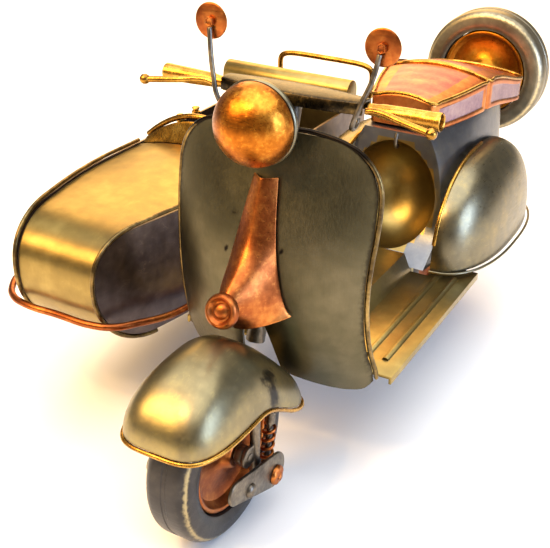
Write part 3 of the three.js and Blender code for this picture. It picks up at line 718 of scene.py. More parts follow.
class SCOOTER_OT_front_end(bpy.types.Operator):
    """Bend the fork, cut the link plates, and fit the bolts, dampers and springs"""

    bl_idname = "scooter.front_end"
    bl_label = "Front end"

    def execute(self, context):
        axle = middle("front_axle")
        top = middle("front_fork").z + size("front_fork").z / 2 - 1.9
        foot = middle("front_fork").z - size("front_fork").z / 2 + 1.5
        bent = [
            (-FORK, 5, foot), (-FORK, 5, 48), (-FORK, 5, top - 9), (-FORK + 2.6, 5, top - 2.6),
            (-FORK + 9, 5, top),
        ]
        line = bent + [(-x, y, z) for x, y, z in reversed(bent)]
        legs = wire("fork legs", line, 1.9, around=8)
        eyes = [bevelled(disc("fork eye", (s * FORK, 0, axle.z), "X", 4, 1.6, 40), 0.3) for s in (1, -1)]
        webs = []
        for x in (FORK, -FORK):
            web = block("fork web", (x - 0.8, 0, 30.4), (x + 0.8, 5, 37.6))
            webs.append(bevelled(web, 0.3))
        fork = joined("front_fork_bent", legs, *eyes, *webs)
        finish(fork, "dark steel rod", "steering", "front_fork", "dark_steel")

        shaft = bevelled(disc("front_axle_turned", axle, "X", 1.7, 28.6, 32), 0.4)
        nuts = [hexagon("nut", (s * 10.6, 0, axle.z), 4.1, 2.9) for s in (1, -1)]
        collars = [bevelled(disc("collar", (s * 8.95, 0, axle.z), "X", 3.2, 0.5, 32), 0.15) for s in (1, -1)]
        finish(
            joined("front_axle_turned", shaft, *nuts, *collars), "dark steel rod", "steering",
            "front_axle", "dark_steel",
        )

        link = self.link()
        bolt = self.bolt()
        damper = self.damper()
        coil = self.coil(context.scene.scooter_sizes.coil_turns)
        for piece, look, kind, slot in (
            (link, "dark steel rod", "link", "dark_steel"),
            (bolt, "brushed copper", "link_bolt", "copper"),
            (damper, "dark steel rod", "damper", "dark_steel"),
            (coil, "brushed copper", "spring", "brass"),
        ):
            finish(mirrored(piece, kind + "_right_made"), look, "steering", kind + "_right", slot)
            finish(piece, look, "steering", kind + "_left", slot)
            piece.name = kind + "_left_made"
        return {"FINISHED"}

    def link(self):
        """A tapered plate with round ends and a rivet head."""
        x = 16.9
        front, rear = Vector((-14.5, 29.8)), Vector((12.5, 21.3))
        plate = disc("link plate", (x, 0, 0), "X", 1, 1.3, 48)
        along = (rear - front).normalized()
        tilt = (4.6 - 7) / (rear - front).length
        for v in plate.data.vertices:
            p = (v.co - at(x, 0, 0)) / MM
            way = Vector((p.y, p.z))
            centre, radius = (rear, 7) if way.dot(along) > tilt else (front, 4.6)
            spot = centre + way * radius
            v.co = at(x + p.x, spot.x, spot.y)
        bevelled(plate, 0.35, 3, 50)
        rivet = self.rivet((x + 0.4, -5.5, 24.8), 2.8, 2.0)
        return joined("link_left_made", plate, rivet)

    def rivet(self, centre, radius, height):
        head = [
            (0, 0), (0, height), (radius * 0.5, height * 0.92), (radius * 0.85, height * 0.66),
            (radius, height * 0.3), (radius, 0),
        ]
        return spun("rivet", head, centre, "X", 32)

    def bolt(self):
        """A button-headed bolt with a ring of dents hammered round its face."""
        y, z = LINK_BOLT
        head = [
            (0, 11.4), (0, 18.9), (1.2, 18.9), (1.6, 19.35), (3.0, 19.3), (3.6, 18.9), (3.9, 18.2),
            (3.9, 17.8), (1.4, 17.8), (1.4, 11.4),
        ]
        bolt = spun("link_bolt_left_made", head, (0, y, z), "X", 40)
        for v in bolt.data.vertices:
            p = (v.co - at(0, y, z)) / MM
            if p.x > 18.6:
                v.co.x += 0.12 * MM * math.sin(5 * math.atan2(p.z, p.y)) * min(math.hypot(p.y, p.z), 1)
        return bolt

    def damper(self):
        y, z = LINK_BOLT
        x = 13.4
        eye = spun(
            "eye",
            [(1.7, 12.3), (1.7, 14.5), (2.2, 14.7), (2.8, 14.4), (3, 13.4), (2.8, 12.4), (2.2, 12.1)],
            (0, y, z), "X", 32,
        )
        rod = wire("damper rod", [(x, y + 0.3, z + 2.2), (x, 14, 33), (x, 16.2, 44)], 0.95)
        cap = wire("damper cap", [(x, 15.1, 39.6), (x, 15.6, 42), (x, 16.1, 44)], 1.8)
        cup = wire("damper cup", [(x, 12.6, 22.6), (x, 12.8, 24)], 1.9)
        return joined("damper_left_made", eye, rod, cap, cup)

    def coil(self, turns):
        x, radius = 13.4, 2.05
        points = []
        steps = int(turns * 12)
        for i in range(steps + 1):
            t = i / steps
            a = 2 * math.pi * turns * t
            lift = smooth(t, 0, 1) * 0.2 + t * 0.8
            points.append(
                (
                    x + radius * math.cos(a), lerp(12.7, 14.9, lift) + radius * math.sin(a),
                    lerp(24.4, 38.8, lift),
                ),
            )
        return wire("spring_left_made", points, 0.62, around=4, between=2)


# -------------------------------------------------------------------------- mudguard
GUARD = {"half": 19.5, "front": 38, "back": 34.2, "edge": 56, "drop": 13.7, "height": 22.8, "flare": 1.2}


def guard_edge(y):
    return GUARD["edge"] - GUARD["drop"] * smooth(y, -2, 30)


def guard_point(x, y, z, grow=0.0):
    """A point of the unit half-ball carried to the mudguard's skin: its plan is a rounded
    rectangle, and its rear corners flare outwards."""
    flat = math.hypot(x, y)
    c, s = (x / flat, y / flat) if flat > 1e-6 else (1.0, 0.0)
    n = 4 if s < 0 else 6
    reach = flat / (abs(c) ** n + abs(s) ** n) ** (1 / n)
    along = reach * s * (GUARD["front" if s < 0 else "back"] + grow)
    wide = GUARD["half"] + grow + GUARD["flare"] * smooth(along, 8, 30) * (1 - max(z, 0)) ** 3
    return reach * c * wide, along, guard_edge(along) + max(z, 0) * (GUARD["height"] + grow)


class SCOOTER_OT_mudguard(bpy.types.Operator):
    """Beat the front mudguard out of a half ball, with its rolled edge and weld marks"""

    bl_idname = "scooter.mudguard"
    bl_label = "Mudguard"

    def execute(self, context):
        sheet = context.scene.scooter_sizes.sheet
        deselect()
        bpy.ops.mesh.primitive_uv_sphere_add(segments=72, ring_count=36, radius=1)
        guard = added("mudguard_beaten")
        edit(guard, "SELECT")
        bpy.ops.mesh.bisect(plane_co=(0, 0, 0), plane_no=(0, 0, 1), clear_inner=True)
        leave()
        moved(guard, lambda x, y, z: at(*guard_point(x, y, z, -sheet / 2)))
        thickened(guard, sheet)
        bevelled(guard, 0.25, 2, 60)
        painted(guard, "stain", self.weld)
        finish(guard, "beaten sheet steel", "steering", "mudguard", "raw_steel", angle=60)

        edge = []
        for i in range(56):
            a = 2 * math.pi * i / 56
            x, y, z = guard_point(math.cos(a), math.sin(a), 0)
            edge.append((x, y, z - 1.0))
        bead = wire("mudguard_bead_rolled", edge, 0.8, closed=True, around=5, between=3)
        finish(bead, "polished brass", "steering", "mudguard_bead", "brass")
        return {"FINISHED"}

    def weld(self, x, y, z):
        """Three burnt lobes over a dark streak, low on the guard's left side."""
        if x < 8:
            return 0
        spots = [(4 + 3.2 * i, 66 - 0.8 * i, 1.9) for i in range(3)]
        lobes = max(math.exp(-(((y - a) ** 2 + (z - b) ** 2) / r**2)) for a, b, r in spots)
        streak = math.exp(-(((y - 7.5) / 3.2) ** 2)) * smooth(z, 50, 56) * smooth(-z, -67, -60)
        return 0.95 * max(lobes, 0.85 * streak)


# ------------------------------------------------------------------------ leg shield
SHIELD = {"half": 39, "top": 142, "bottom": 44.4, "round": 21, "slot": 8, "slot_top": 77}
# The shield's middle line and how far its sides sweep back, as (height, depth) pairs.
MIDDLE_LINE = ((44, 37), (52, 34), (64, 28.5), (80, 25.5), (100, 27.5), (127, 35), (146, 40.5))
SIDE_SWEEP = ((44, 11), (56, 11.5), (75, 12.5), (100, 11), (127, 5.5), (146, 2))
middle_curve = np.polynomial.Polynomial.fit(*zip(*MIDDLE_LINE), 4)
sweep_curve = np.polynomial.Polynomial.fit(*zip(*SIDE_SWEEP), 3)


def shield_depth(x, z):
    u = min(abs(x) / SHIELD["half"], 1.1)
    return float(middle_curve(z) + sweep_curve(z) * u**2.4)


def shield_half(z):
    """The shield's half width at a height: a waist, nearly straight sides and round shoulders."""
    waist = SHIELD["half"] - 1.2 * math.sin(
        math.pi * min(max((z - 56) / 56, 0), 1),
    ) + 0.6 * smooth(-z, -62, -52)
    shoulder = SHIELD["top"] - SHIELD["round"]
    if z <= shoulder:
        return waist
    rise = min((z - shoulder) / SHIELD["round"], 1)
    return waist - 22 + 22 * (1 - rise ** (2 / 0.9)) ** 0.45


class SCOOTER_OT_leg_shield(bpy.types.Operator):
    """Bend the leg shield, roll its edge, and fit the horn cover and its boss"""

    bl_idname = "scooter.leg_shield"
    bl_label = "Leg shield"

    def execute(self, context):
        sizes = context.scene.scooter_sizes
        low, top = SHIELD["bottom"], SHIELD["top"]

        def skin(u, v):
            z = lerp(low, top, math.sin(math.pi / 4 * (v + 1)))
            x = u * shield_half(z)
            # The foot rises towards the middle, and its outer corners are rounded.
            foot = 7.6 * max(1 - abs(x) / 30, 0) ** 1.3 + 5 * max((abs(u) - 0.84) / 0.16, 0) ** 2.5
            z += foot * max(1 - (z - low) / 26, 0) ** 2
            return x, shield_depth(x, z), z

        shield = grid("leg_shield_bent", 56, 64, skin)
        thickened(shield, sizes.sheet)
        arch = disc("arch tool", (0, 45, low - 4), "Y", 1, 80, 64)
        for v in arch.data.vertices:
            p = (v.co - at(0, 45, low - 4)) / MM
            v.co = at(p.x * SHIELD["slot"], 45 + p.y, low - 4 + p.z * (SHIELD["slot_top"] - low + 4))
        trimmed(shield, arch)
        painted(shield, "stain", self.weld)
        # The shield's dark olive colour is a painted reflection of the dark room in front of it.
        finish(shield, "olive sheet steel", "chassis", "leg_shield", "raw_steel", angle=50)

        side = [
            (shield_half(z) + 0.9, z) for z in (50, 53.5, 58, 66, 76, 88, 100, 112, 121, 127, 132.5, 137, 140)
        ]
        over = [(x, top + 0.9) for x in (15, 8, 0)]
        half_line = side + over
        line = half_line + [(-x, z) for x, z in reversed(half_line[:-1])]
        bead = wire(
            "shield_bead_rolled",
            [(x, shield_depth(x, z) + 0.3, z) for x, z in line],
            sizes.bead,
            around=5,
            between=4,
        )
        # The bead is darker towards the top of the shield.
        painted(bead, "stain", lambda x, y, z: 0.9 * smooth(z, 132, 141))
        finish(bead, "dull brass", "chassis", "shield_bead", "brass")

        cover = grid("horn_cover_pressed", 40, 56, self.cover)
        thickened(cover, sizes.sheet * 0.8)
        bevelled(cover, 0.3, 2, 50)
        finish(cover, "brushed copper", "chassis", "horn_cover", "copper", angle=60)
        self.boss()
        return {"FINISHED"}

    def weld(self, x, y, z):
        """Burnt spots where the cover is welded on, and a dark band along the shield's side edges."""
        spots = ((-12.5, 99, 0.9), (-10.5, 112, 0.8), (9.8, 103, 0.8), (27, 62, 0.7))
        burn = max(math.exp(-(((x - a) ** 2 + (z - b) ** 2) / r**2)) for a, b, r in spots)
        # A dark band along the side edges, next to the rolled bead.
        rim = 0.55 * smooth(abs(x) / shield_half(z), 0.955, 1.0)
        return max(burn, rim)

    def cover(self, u, v):
        """The tapered cover: narrow at the top, swelling to a nose low down."""
        t = (v + 1) / 2
        half = lerp(15.5, 4.6, t**0.55)
        swell = 3.2 + 13 * math.exp(-(((t - 0.24) / 0.2) ** 2)) + 5 * (1 - t) ** 2
        x = u * half
        z = lerp(76.5 + 3 * u * u, 127, t)
        return x, shield_depth(x, z) - 1.5 - swell * (1 - abs(u) ** 1.6), z

    def boss(self):
        """Two raised rings round a domed middle, tilted up on the cover's nose."""
        face = [
            (0, 0.2), (0, -2.5), (1.2, -2.45), (2.3, -2.0), (2.9, -1.3), (3.5, -1.2), (4.1, -1.7),
            (4.6, -2.3), (5.2, -2.4), (5.8, -2.0), (6.2, -1.0), (6.3, 0.2),
        ]
        boss = spun("horn_boss_turned", face, (0, 0, 0), "Y", 56)
        tilt = Matrix.Rotation(math.radians(-20), 4, "X")
        boss.data.transform(Matrix.Translation(at(0, 4.6, 87.5)) @ tilt @ Matrix.Translation(-at(0, 0, 0)))
        finish(boss, "brushed copper", "chassis", "horn_boss", "copper")


# -------------------------------------------------------------------------- steering
class SCOOTER_OT_steering(bpy.types.Operator):
    """Make the handlebar, grips, levers and mirrors"""

    bl_idname = "scooter.steering"
    bl_label = "Steering"

    def execute(self, context):
        refined("steering_column", "steering_column_drawn", "dark steel rod", "dark_steel")
        self.bar()
        grip = self.grip()
        finish(mirrored(grip, "grip_right_turned"), "polished brass", "steering", "grip_right", "brass")
        finish(grip, "polished brass", "steering", "grip_left", "brass")
        lever = self.lever()
        finish(
            mirrored(lever, "lever_right_made"), "polished brass", "brake_lever_right", "lever_right",
            "brass",
        )
        finish(lever, "polished brass", "brake_lever_left", "lever_left", "brass")
        stalk = self.stalk()
        finish(
            mirrored(stalk, "mirror_stalk_right_bent"), "dark steel rod", "steering",
            "mirror_stalk_right", "dark_steel",
        )
        finish(stalk, "dark steel rod", "steering", "mirror_stalk_left", "dark_steel")
        for side, name in SIDES:
            self.mirror(side, name)
        return {"FINISHED"}

    def bar(self):
        """A tapered trough of sheet, its open side down, with three rivets along it."""
        half, y0, top, deep = 27.5, 52, 153.5, 5

        def skin(u, v):
            x = u * half
            wide = lerp(6.2, 3.2, abs(u) ** 2)
            fold = 1.25 * v
            y = math.copysign(min(abs(fold), 1), fold) * wide
            drop = max(abs(fold) - 1, 0) * 4 * (deep - 1.4)
            return x, y0 + y, top - 0.55 - drop - 0.5 * (y / wide) ** 2

        bar = grid("handlebar_folded", 36, 16, skin)
        thickened(bar, 1.1)
        bevelled(bar, 0.3, 2, 45)
        rivets = []
        for x in (-14, 9, 19):
            face = [(0, 0), (0, 0.9), (0.8, 0.8), (1.2, 0.45), (1.3, 0)]
            rivets.append(spun("bar rivet", face, (x, y0, top - 0.95), "Z", 20))
        # The bar's near-black colour is painted shade, and its brass-coloured patches are painted glints.
        finish(
            joined("handlebar_folded", bar, *rivets), "blackened steel", "steering", "handlebar",
            "dark_steel",
        )

    def grip(self):
        """A flared tube with a hollow end, belled out towards the rider's hand."""
        low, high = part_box("grip_left")
        begin, end = ((p.x - ORIGIN.x) / MM for p in (low, high))
        face = [
            (0, begin), (2, begin), (2.15, begin + 3), (2.5, begin + 5), (2.9, begin + 15),
            (3.05, end - 3),
        ]
        face += [
            (3.2, end - 1.2), (3.15, end - 0.2), (2.9, end), (2.5, end - 0.3), (2.3, end - 1.4),
            (2.2, end - 5), (0, end - 5),
        ]
        return spun("grip_left_turned", face, (0, 53, 150), "X", 48)

    def lever(self):
        line = [(29.6, 46.8, 151.2), (33, 46.6, 151.8), (44, 43.6, 150.9), (54.5, 40.8, 150)]
        rod = wire("lever rod", line, 1.15)
        knob = [(0, 53.1), (0.9, 53.3), (1.6, 53.9), (1.9, 55), (1.6, 56.1), (0.9, 56.7), (0, 56.9)]
        ball = spun("lever ball", knob, (0, 40.7, 150), "X", 28)
        return joined("lever_left_made", rod, ball)

    def stalk(self):
        line = [
            (32.3, 48.9, 170), (31, 47.4, 162), (28.5, 45.2, 154), (26.4, 44.2, 147.6),
            (25.3, 45.9, 144.7), (25.2, 49.5, 144.8), (25, 51.3, 146.6),
        ]
        return wire("mirror_stalk_left_bent", line, 0.9)

    def mirror(self, side, name):
        """A thin scratched disc held by a six-sided nut at its middle."""
        x, y, z = side * 32.6, 50, 172
        plate = [(0, 0.1), (0, 1.1), (5.9, 1.1), (6.3, 0.85), (6.4, 0.5), (6.3, 0.2), (5.9, -0.05), (2, 0.1)]
        face = spun("mirror face", plate, (x, y, z), "Y", 48)
        nut = disc("mirror nut", (x, y - 0.8, z), "Y", 1.9, 1.6, 6)
        edit(nut)
        bpy.ops.mesh.select_mode(type="FACE")
        leave()
        front = min(nut.data.polygons, key=lambda p: p.center.y)
        front.select = True
        edit_keep(nut)
        bpy.ops.mesh.inset(thickness=0.5 * MM, depth=0)
        bpy.ops.mesh.inset(thickness=0.1 * MM, depth=-0.7 * MM)
        leave()
        bevelled(nut, 0.25, 2, 40)
        finish(
            joined("mirror_" + name + "_made", face, nut), "brushed copper", "mirror_disc_" + name,
            "mirror_" + name, "copper",
        )


class SCOOTER_OT_headlight(bpy.types.Operator):
    """Turn the headlight's dome, ring and housing"""

    bl_idname = "scooter.headlight"
    bl_label = "Headlight"

    def execute(self, context):
        y, z, r, depth, neck = 25.2, 147.6, 14.3, 13, 19.4
        dome = [(0, 0.4)] + [
            (r * math.sin(math.radians(a)), -depth * math.cos(math.radians(a))) for a in range(0, 91, 6)
        ]
        dome += [(r, 0.1), (r - 0.3, 0.4)]
        piece = spun("headlight_dome_beaten", dome, (0, y, z), "Y", 72)
        finish(piece, "amber copper", "steering", "headlight_dome", "copper", angle=60)
        ring = [(r - 2, 0.8)] + [
            (r - 0.2 + 0.7 * math.sin(a), 1.9 - 1.1 * math.cos(a)) for a in (0.3, 0.9, 1.5, 2.1, 2.7)
        ]
        ring += [
            (r - 1.6, 3.2), (r - 2.4, 3.6), (11.4, 5.0), (8.5, 6.1), (5.4, 6.9), (3.9, 7.8), (3.5, 9),
            (3.4, neck), (0, neck), (0, 0.9),
        ]
        shell = spun("headlight_housing_turned", ring, (0, y, z), "Y", 72)
        finish(shell, "brushed sheet steel", "steering", "headlight_housing", "raw_steel")
        return {"FINISHED"}


# -------------------------------------------------------------- floor and rear body
class SCOOTER_OT_floor(bpy.types.Operator):
    """Finish the ribbed floor"""

    bl_idname = "scooter.floor"
    bl_label = "Floor"

    def execute(self, context):
        # The floor's yellow tint is a painted reflection of the warm ceiling light.
        refined("floor", "floor_pressed", "golden sheet steel", "raw_steel", 0.35, 25)
        return {"FINISHED"}


BODY = {"front": 151, "back": 232, "bottom": 51.2, "top": 107.4, "half": 26.4, "nose": 15.5}
# The ball-shaped scoop in the body's front.
SCOOP_CENTRE = (0, 148, 78)
SCOOP_RADII = (21, 22, 25.2)
COVER = {"y": 186, "z": 51.6, "length": 51, "height": 43.5, "bulge": 22, "x": 27}


def body_half(y, t):
    s = (y - BODY["front"]) / (BODY["back"] - BODY["front"])
    low = BODY["half"] - 2.5 * max(1 - s * 4, 0) ** 2
    high = lerp(BODY["nose"], 23.5, smooth(s, 0, 0.7))
    corner = 2.5 * max(s * 6 - 5, 0) ** 2
    return lerp(low, high, max(t, 0) ** 4) - corner


class SCOOTER_OT_rear_body(bpy.types.Operator):
    """Shape the rear body with its scooped front, and the two side covers"""

    bl_idname = "scooter.rear_body"
    bl_label = "Rear body"

    def execute(self, context):
        self.body()
        cover = self.cover(context.scene.scooter_sizes.sheet)
        finish(
            mirrored(cover, "cover_right_beaten"), "brushed sheet steel", "chassis", "cover_right",
            "raw_steel", 50,
        )
        finish(cover, "brushed sheet steel", "chassis", "cover_left", "raw_steel", 50)
        strip = self.strip()
        finish(mirrored(strip, "cover_strip_right"), "polished brass", "chassis", slot="brass")
        finish(strip, "polished brass", "chassis", slot="brass")
        return {"FINISHED"}

    def shell(self, name, inset, lower):
        front, back, bottom, top = (BODY[k] for k in ("front", "back", "bottom", "top"))
        box = block(name, (-1, 0, 0), (1, 1, 1), cuts=15)

        def place(x, y, z):
            u, s, t = ((c - o) / MM for c, o in zip((x, y, z), ORIGIN))
            depth = lerp(front + inset, back - inset, s)
            high = lerp(bottom - lower, top - inset, t)
            share = (high - bottom) / (top - bottom)
            lean = 16 * max(1 - share * 3.2, 0) ** 2 * max(1 - (depth - front) / 40, 0)
            return at(u * (body_half(depth, t) - inset), depth - lean, high)

        return moved(box, place)

    def scoop(self, grow):
        deselect()
        bpy.ops.mesh.primitive_uv_sphere_add(segments=64, ring_count=40, radius=1)
        ball = added("scoop tool")
        return moved(
            ball, lambda *p: at(*(c + (r + grow) * q for c, r, q in zip(SCOOP_CENTRE, SCOOP_RADII, p))),
        )

    def body(self):
        outer = trimmed(self.shell("rear_body_formed", 0, 0), self.scoop(0))
        inner = trimmed(self.shell("hollow tool", 1.4, 4), self.scoop(1.4))
        trimmed(outer, inner)
        outward(outer)
        bevelled(outer, 0.8, 3, 42)
        outer.data.materials.clear()
        for _ in range(2):
            outer.data.materials.append(None)
        for face in outer.data.polygons:
            spot = (face.center - ORIGIN) / MM
            reach = sum(((p - c) / r) ** 2 for p, c, r in zip(spot, SCOOP_CENTRE, SCOOP_RADII))
            face.material_index = 1 if reach < 1.06 else 0
        # The scoop's yellow tint is a painted reflection of the warm ceiling light.
        finish(
            outer, ["blue-grey sheet steel", "golden sheet steel"], "chassis", "rear_body", "raw_steel",
            42,
        )
        hook = wire("seat_hook", [(0, 151.6, 106.4), (0, 150.6, 103), (0, 151.4, 100.2), (0, 154, 99.5)], 0.9)
        finish(hook, "dark steel rod", "chassis", slot="dark_steel")

    def cover(self, sheet):
        """A swollen quarter of a ball, open at its foot and inner side, with a flat flange."""
        c = COVER
        deselect()
        bpy.ops.mesh.primitive_uv_sphere_add(segments=96, ring_count=48, radius=1)
        ball = added("cover_left_beaten")
        edit(ball, "SELECT")
        bpy.ops.mesh.bisect(plane_co=(0, 0, 0), plane_no=(0, 0, 1), clear_inner=True)
        bpy.ops.mesh.select_all(action="SELECT")
        bpy.ops.mesh.bisect(plane_co=(0, 0, 0), plane_no=(1, 0, 0), clear_inner=True)
        leave()
        grow = -sheet / 2
        moved(
            ball,
            lambda x, y, z: at(
                c["x"] + power(x, 0.85) * (c["bulge"] + grow),
                c["y"] + power(y, 0.8) * (c["length"] + grow),
                c["z"] + 1 + power(z, 0.8) * (c["height"] - 1 + grow),
            ),
        )
        thickened(ball, sheet)
        rim = []
        for i in range(41):
            a = math.radians(lerp(-90, 90, i / 40))
            rim.append(
                (
                    c["x"] + power(math.cos(a), 0.85) * (c["bulge"] + 1),
                    c["y"] + power(math.sin(a), 0.8) * (c["length"] + 1), c["z"] + 0.6,
                ),
            )
        flange = wire("cover flange", rim, 0.6, around=3, between=2)
        for v in flange.data.vertices:
            p = (v.co - ORIGIN) / MM
            out = (p.x - c["x"]) / c["bulge"]
            v.co.x += 0.6 * MM * max(out, 0)
        return joined("cover_left_beaten", ball, flange)

    def strip(self):
        """The bright half-round strip down the cover's front edge."""
        c = COVER
        line = []
        for i in range(15):
            a = math.radians(lerp(12, 92, i / 14))
            line.append(
                (
                    c["x"] + 0.4, c["y"] - power(math.cos(a), 0.8) * (c["length"] - 0.4),
                    c["z"] + power(math.sin(a), 0.8) * (c["height"] + 0.2),
                ),
            )
        return wire("cover_strip_left", line, 1.0, around=5)


# ------------------------------------------------------------------------------ seat
SEAT_PARTS = {"front": (155, 197.85), "rear": (198.15, 250)}


def seat_top(y):
    return lerp(120.5, 122, smooth(y, 155, 198)) - 10 * max((smooth(y, 198, 250)), 0) ** 1.1


def seat_crown(y):
    return lerp(2.5, 4.6, smooth(y, 155, 195)) - 2.2 * smooth(y, 205, 250)


def seat_foot(y):
    return 107.9 - 6.5 * smooth(y, 198, 250)


def seat_half(part, y):
    if part == "front":
        return lerp(14.7, 25.5, (y - 155) / 43) + 1.2 * math.sin(math.pi * (y - 155) / 43)
    return lerp(25.5, 29, (y - 198) / 52) - 5 * max((y - 242) / 8, 0) ** 2


class SCOOTER_OT_seat(bpy.types.Operator):
    """Form the two seats with panels, pleats and piping"""

    bl_idname = "scooter.seat"
    bl_label = "Seat"

    def execute(self, context):
        for part in SEAT_PARTS:
            self.pad(part)
            self.piping(part)
        return {"FINISHED"}

    def pad(self, part):
        begin, end = SEAT_PARTS[part]
        pad = block("seat_" + part + "_formed", (-1, 0, 0), (1, 1, 1), cuts=11)

        def place(x, y, z):
            u, s, t = ((c - o) / MM for c, o in zip((x, y, z), ORIGIN))
            depth = lerp(begin, end, s)
            top = seat_top(depth) + seat_crown(depth) * (1 - u * u)
            pleat = 0.45 * math.cos(2 * math.pi * (depth - begin) / 8.5 + 2.2 * abs(u)) * smooth(t, 0.9, 1)
            return at(u * seat_half(part, depth), depth, lerp(seat_foot(depth), top + pleat * (1 - u**6), t))

        moved(pad, place)
        for side in (1, -1):
            for face in pad.data.polygons:
                spot = (face.center - ORIGIN) / MM
                near = begin + 5 < spot.y < end - 5
                level = (spot.z - seat_foot(spot.y)) / (seat_top(spot.y) - seat_foot(spot.y))
                face.select = near and 0.16 < level < 0.86 and face.normal.x * side > 0.75
            edit_keep(pad)
            bpy.ops.mesh.inset(thickness=0.5 * MM, depth=-0.5 * MM)
            leave()
            for face in pad.data.polygons:
                if face.select:
                    face.material_index = 1
        for face in pad.data.polygons:
            spot = (face.center - ORIGIN) / MM
            across = abs(spot.x) / seat_half(part, spot.y)
            if face.normal.z > 0.8 and across < 0.62 and begin + 4 < spot.y < end - 4:
                face.material_index = 2
        for _ in range(3):
            pad.data.materials.append(None)
        softened(pad, 1)
        finish(
            pad, ["copper seat skin", "pale seat panel", "mauve seat panel"], "chassis", "seat_" + part,
            "seat_copper", 50,
        )

    def piping(self, part):
        """A corded edge all round the seat's top."""
        begin, end = SEAT_PARTS[part]
        steps = 9
        side = []
        for i in range(steps + 1):
            y = lerp(begin + 1.0, end - 1.0, i / steps)
            side.append((seat_half(part, y) - 0.6, y, seat_top(y) + 0.5))

        def across(x, edge, y, inward):
            """A point of the cord where it crosses the seat at one end."""
            return x * side[edge][0], y + inward, seat_top(y) + 0.4 + seat_crown(y) * (1 - x * x)

        front = [across(x, 0, begin, 0.8) for x in (-0.5, 0, 0.5)]
        back = [across(x, -1, end, -0.8) for x in (0.5, 0, -0.5)]
        line = front + side + back + [(-x, y, z) for x, y, z in reversed(side)]
        cord = wire("seat_" + part + "_piping", line, 0.8, closed=True, around=5, between=4)
        finish(cord, "polished brass", "chassis", slot="brass")


# --------------------------------------------------------------------------- sidecar
CAR = {"x": -84, "half": 31, "front": 16, "back": 235, "rim": 91, "bottom": 42}
NOSE = {"half": 18.5, "z": 72, "reach": 26, "under": 30}
COWL = {"back": 115, "crown": 4}


def car_half(y):
    return lerp(NOSE["half"], CAR["half"], smooth(y, 8, 84) ** 0.8)


def nose_point(t):
    """A point of the nose's side view, with t from 0 under the nose to 1 on the rim."""
    a = math.pi * t
    s, c = math.sin(a), math.cos(a)
    over = c < 0
    reach = NOSE["reach"] if over else NOSE["under"]
    rise = CAR["rim"] - NOSE["z"] if over else NOSE["z"] - CAR["bottom"]
    swell = 0.8 if over else 1
    return CAR["front"] + reach * (1 - max(s, 0) ** swell), NOSE["z"] - power(c, swell) * rise


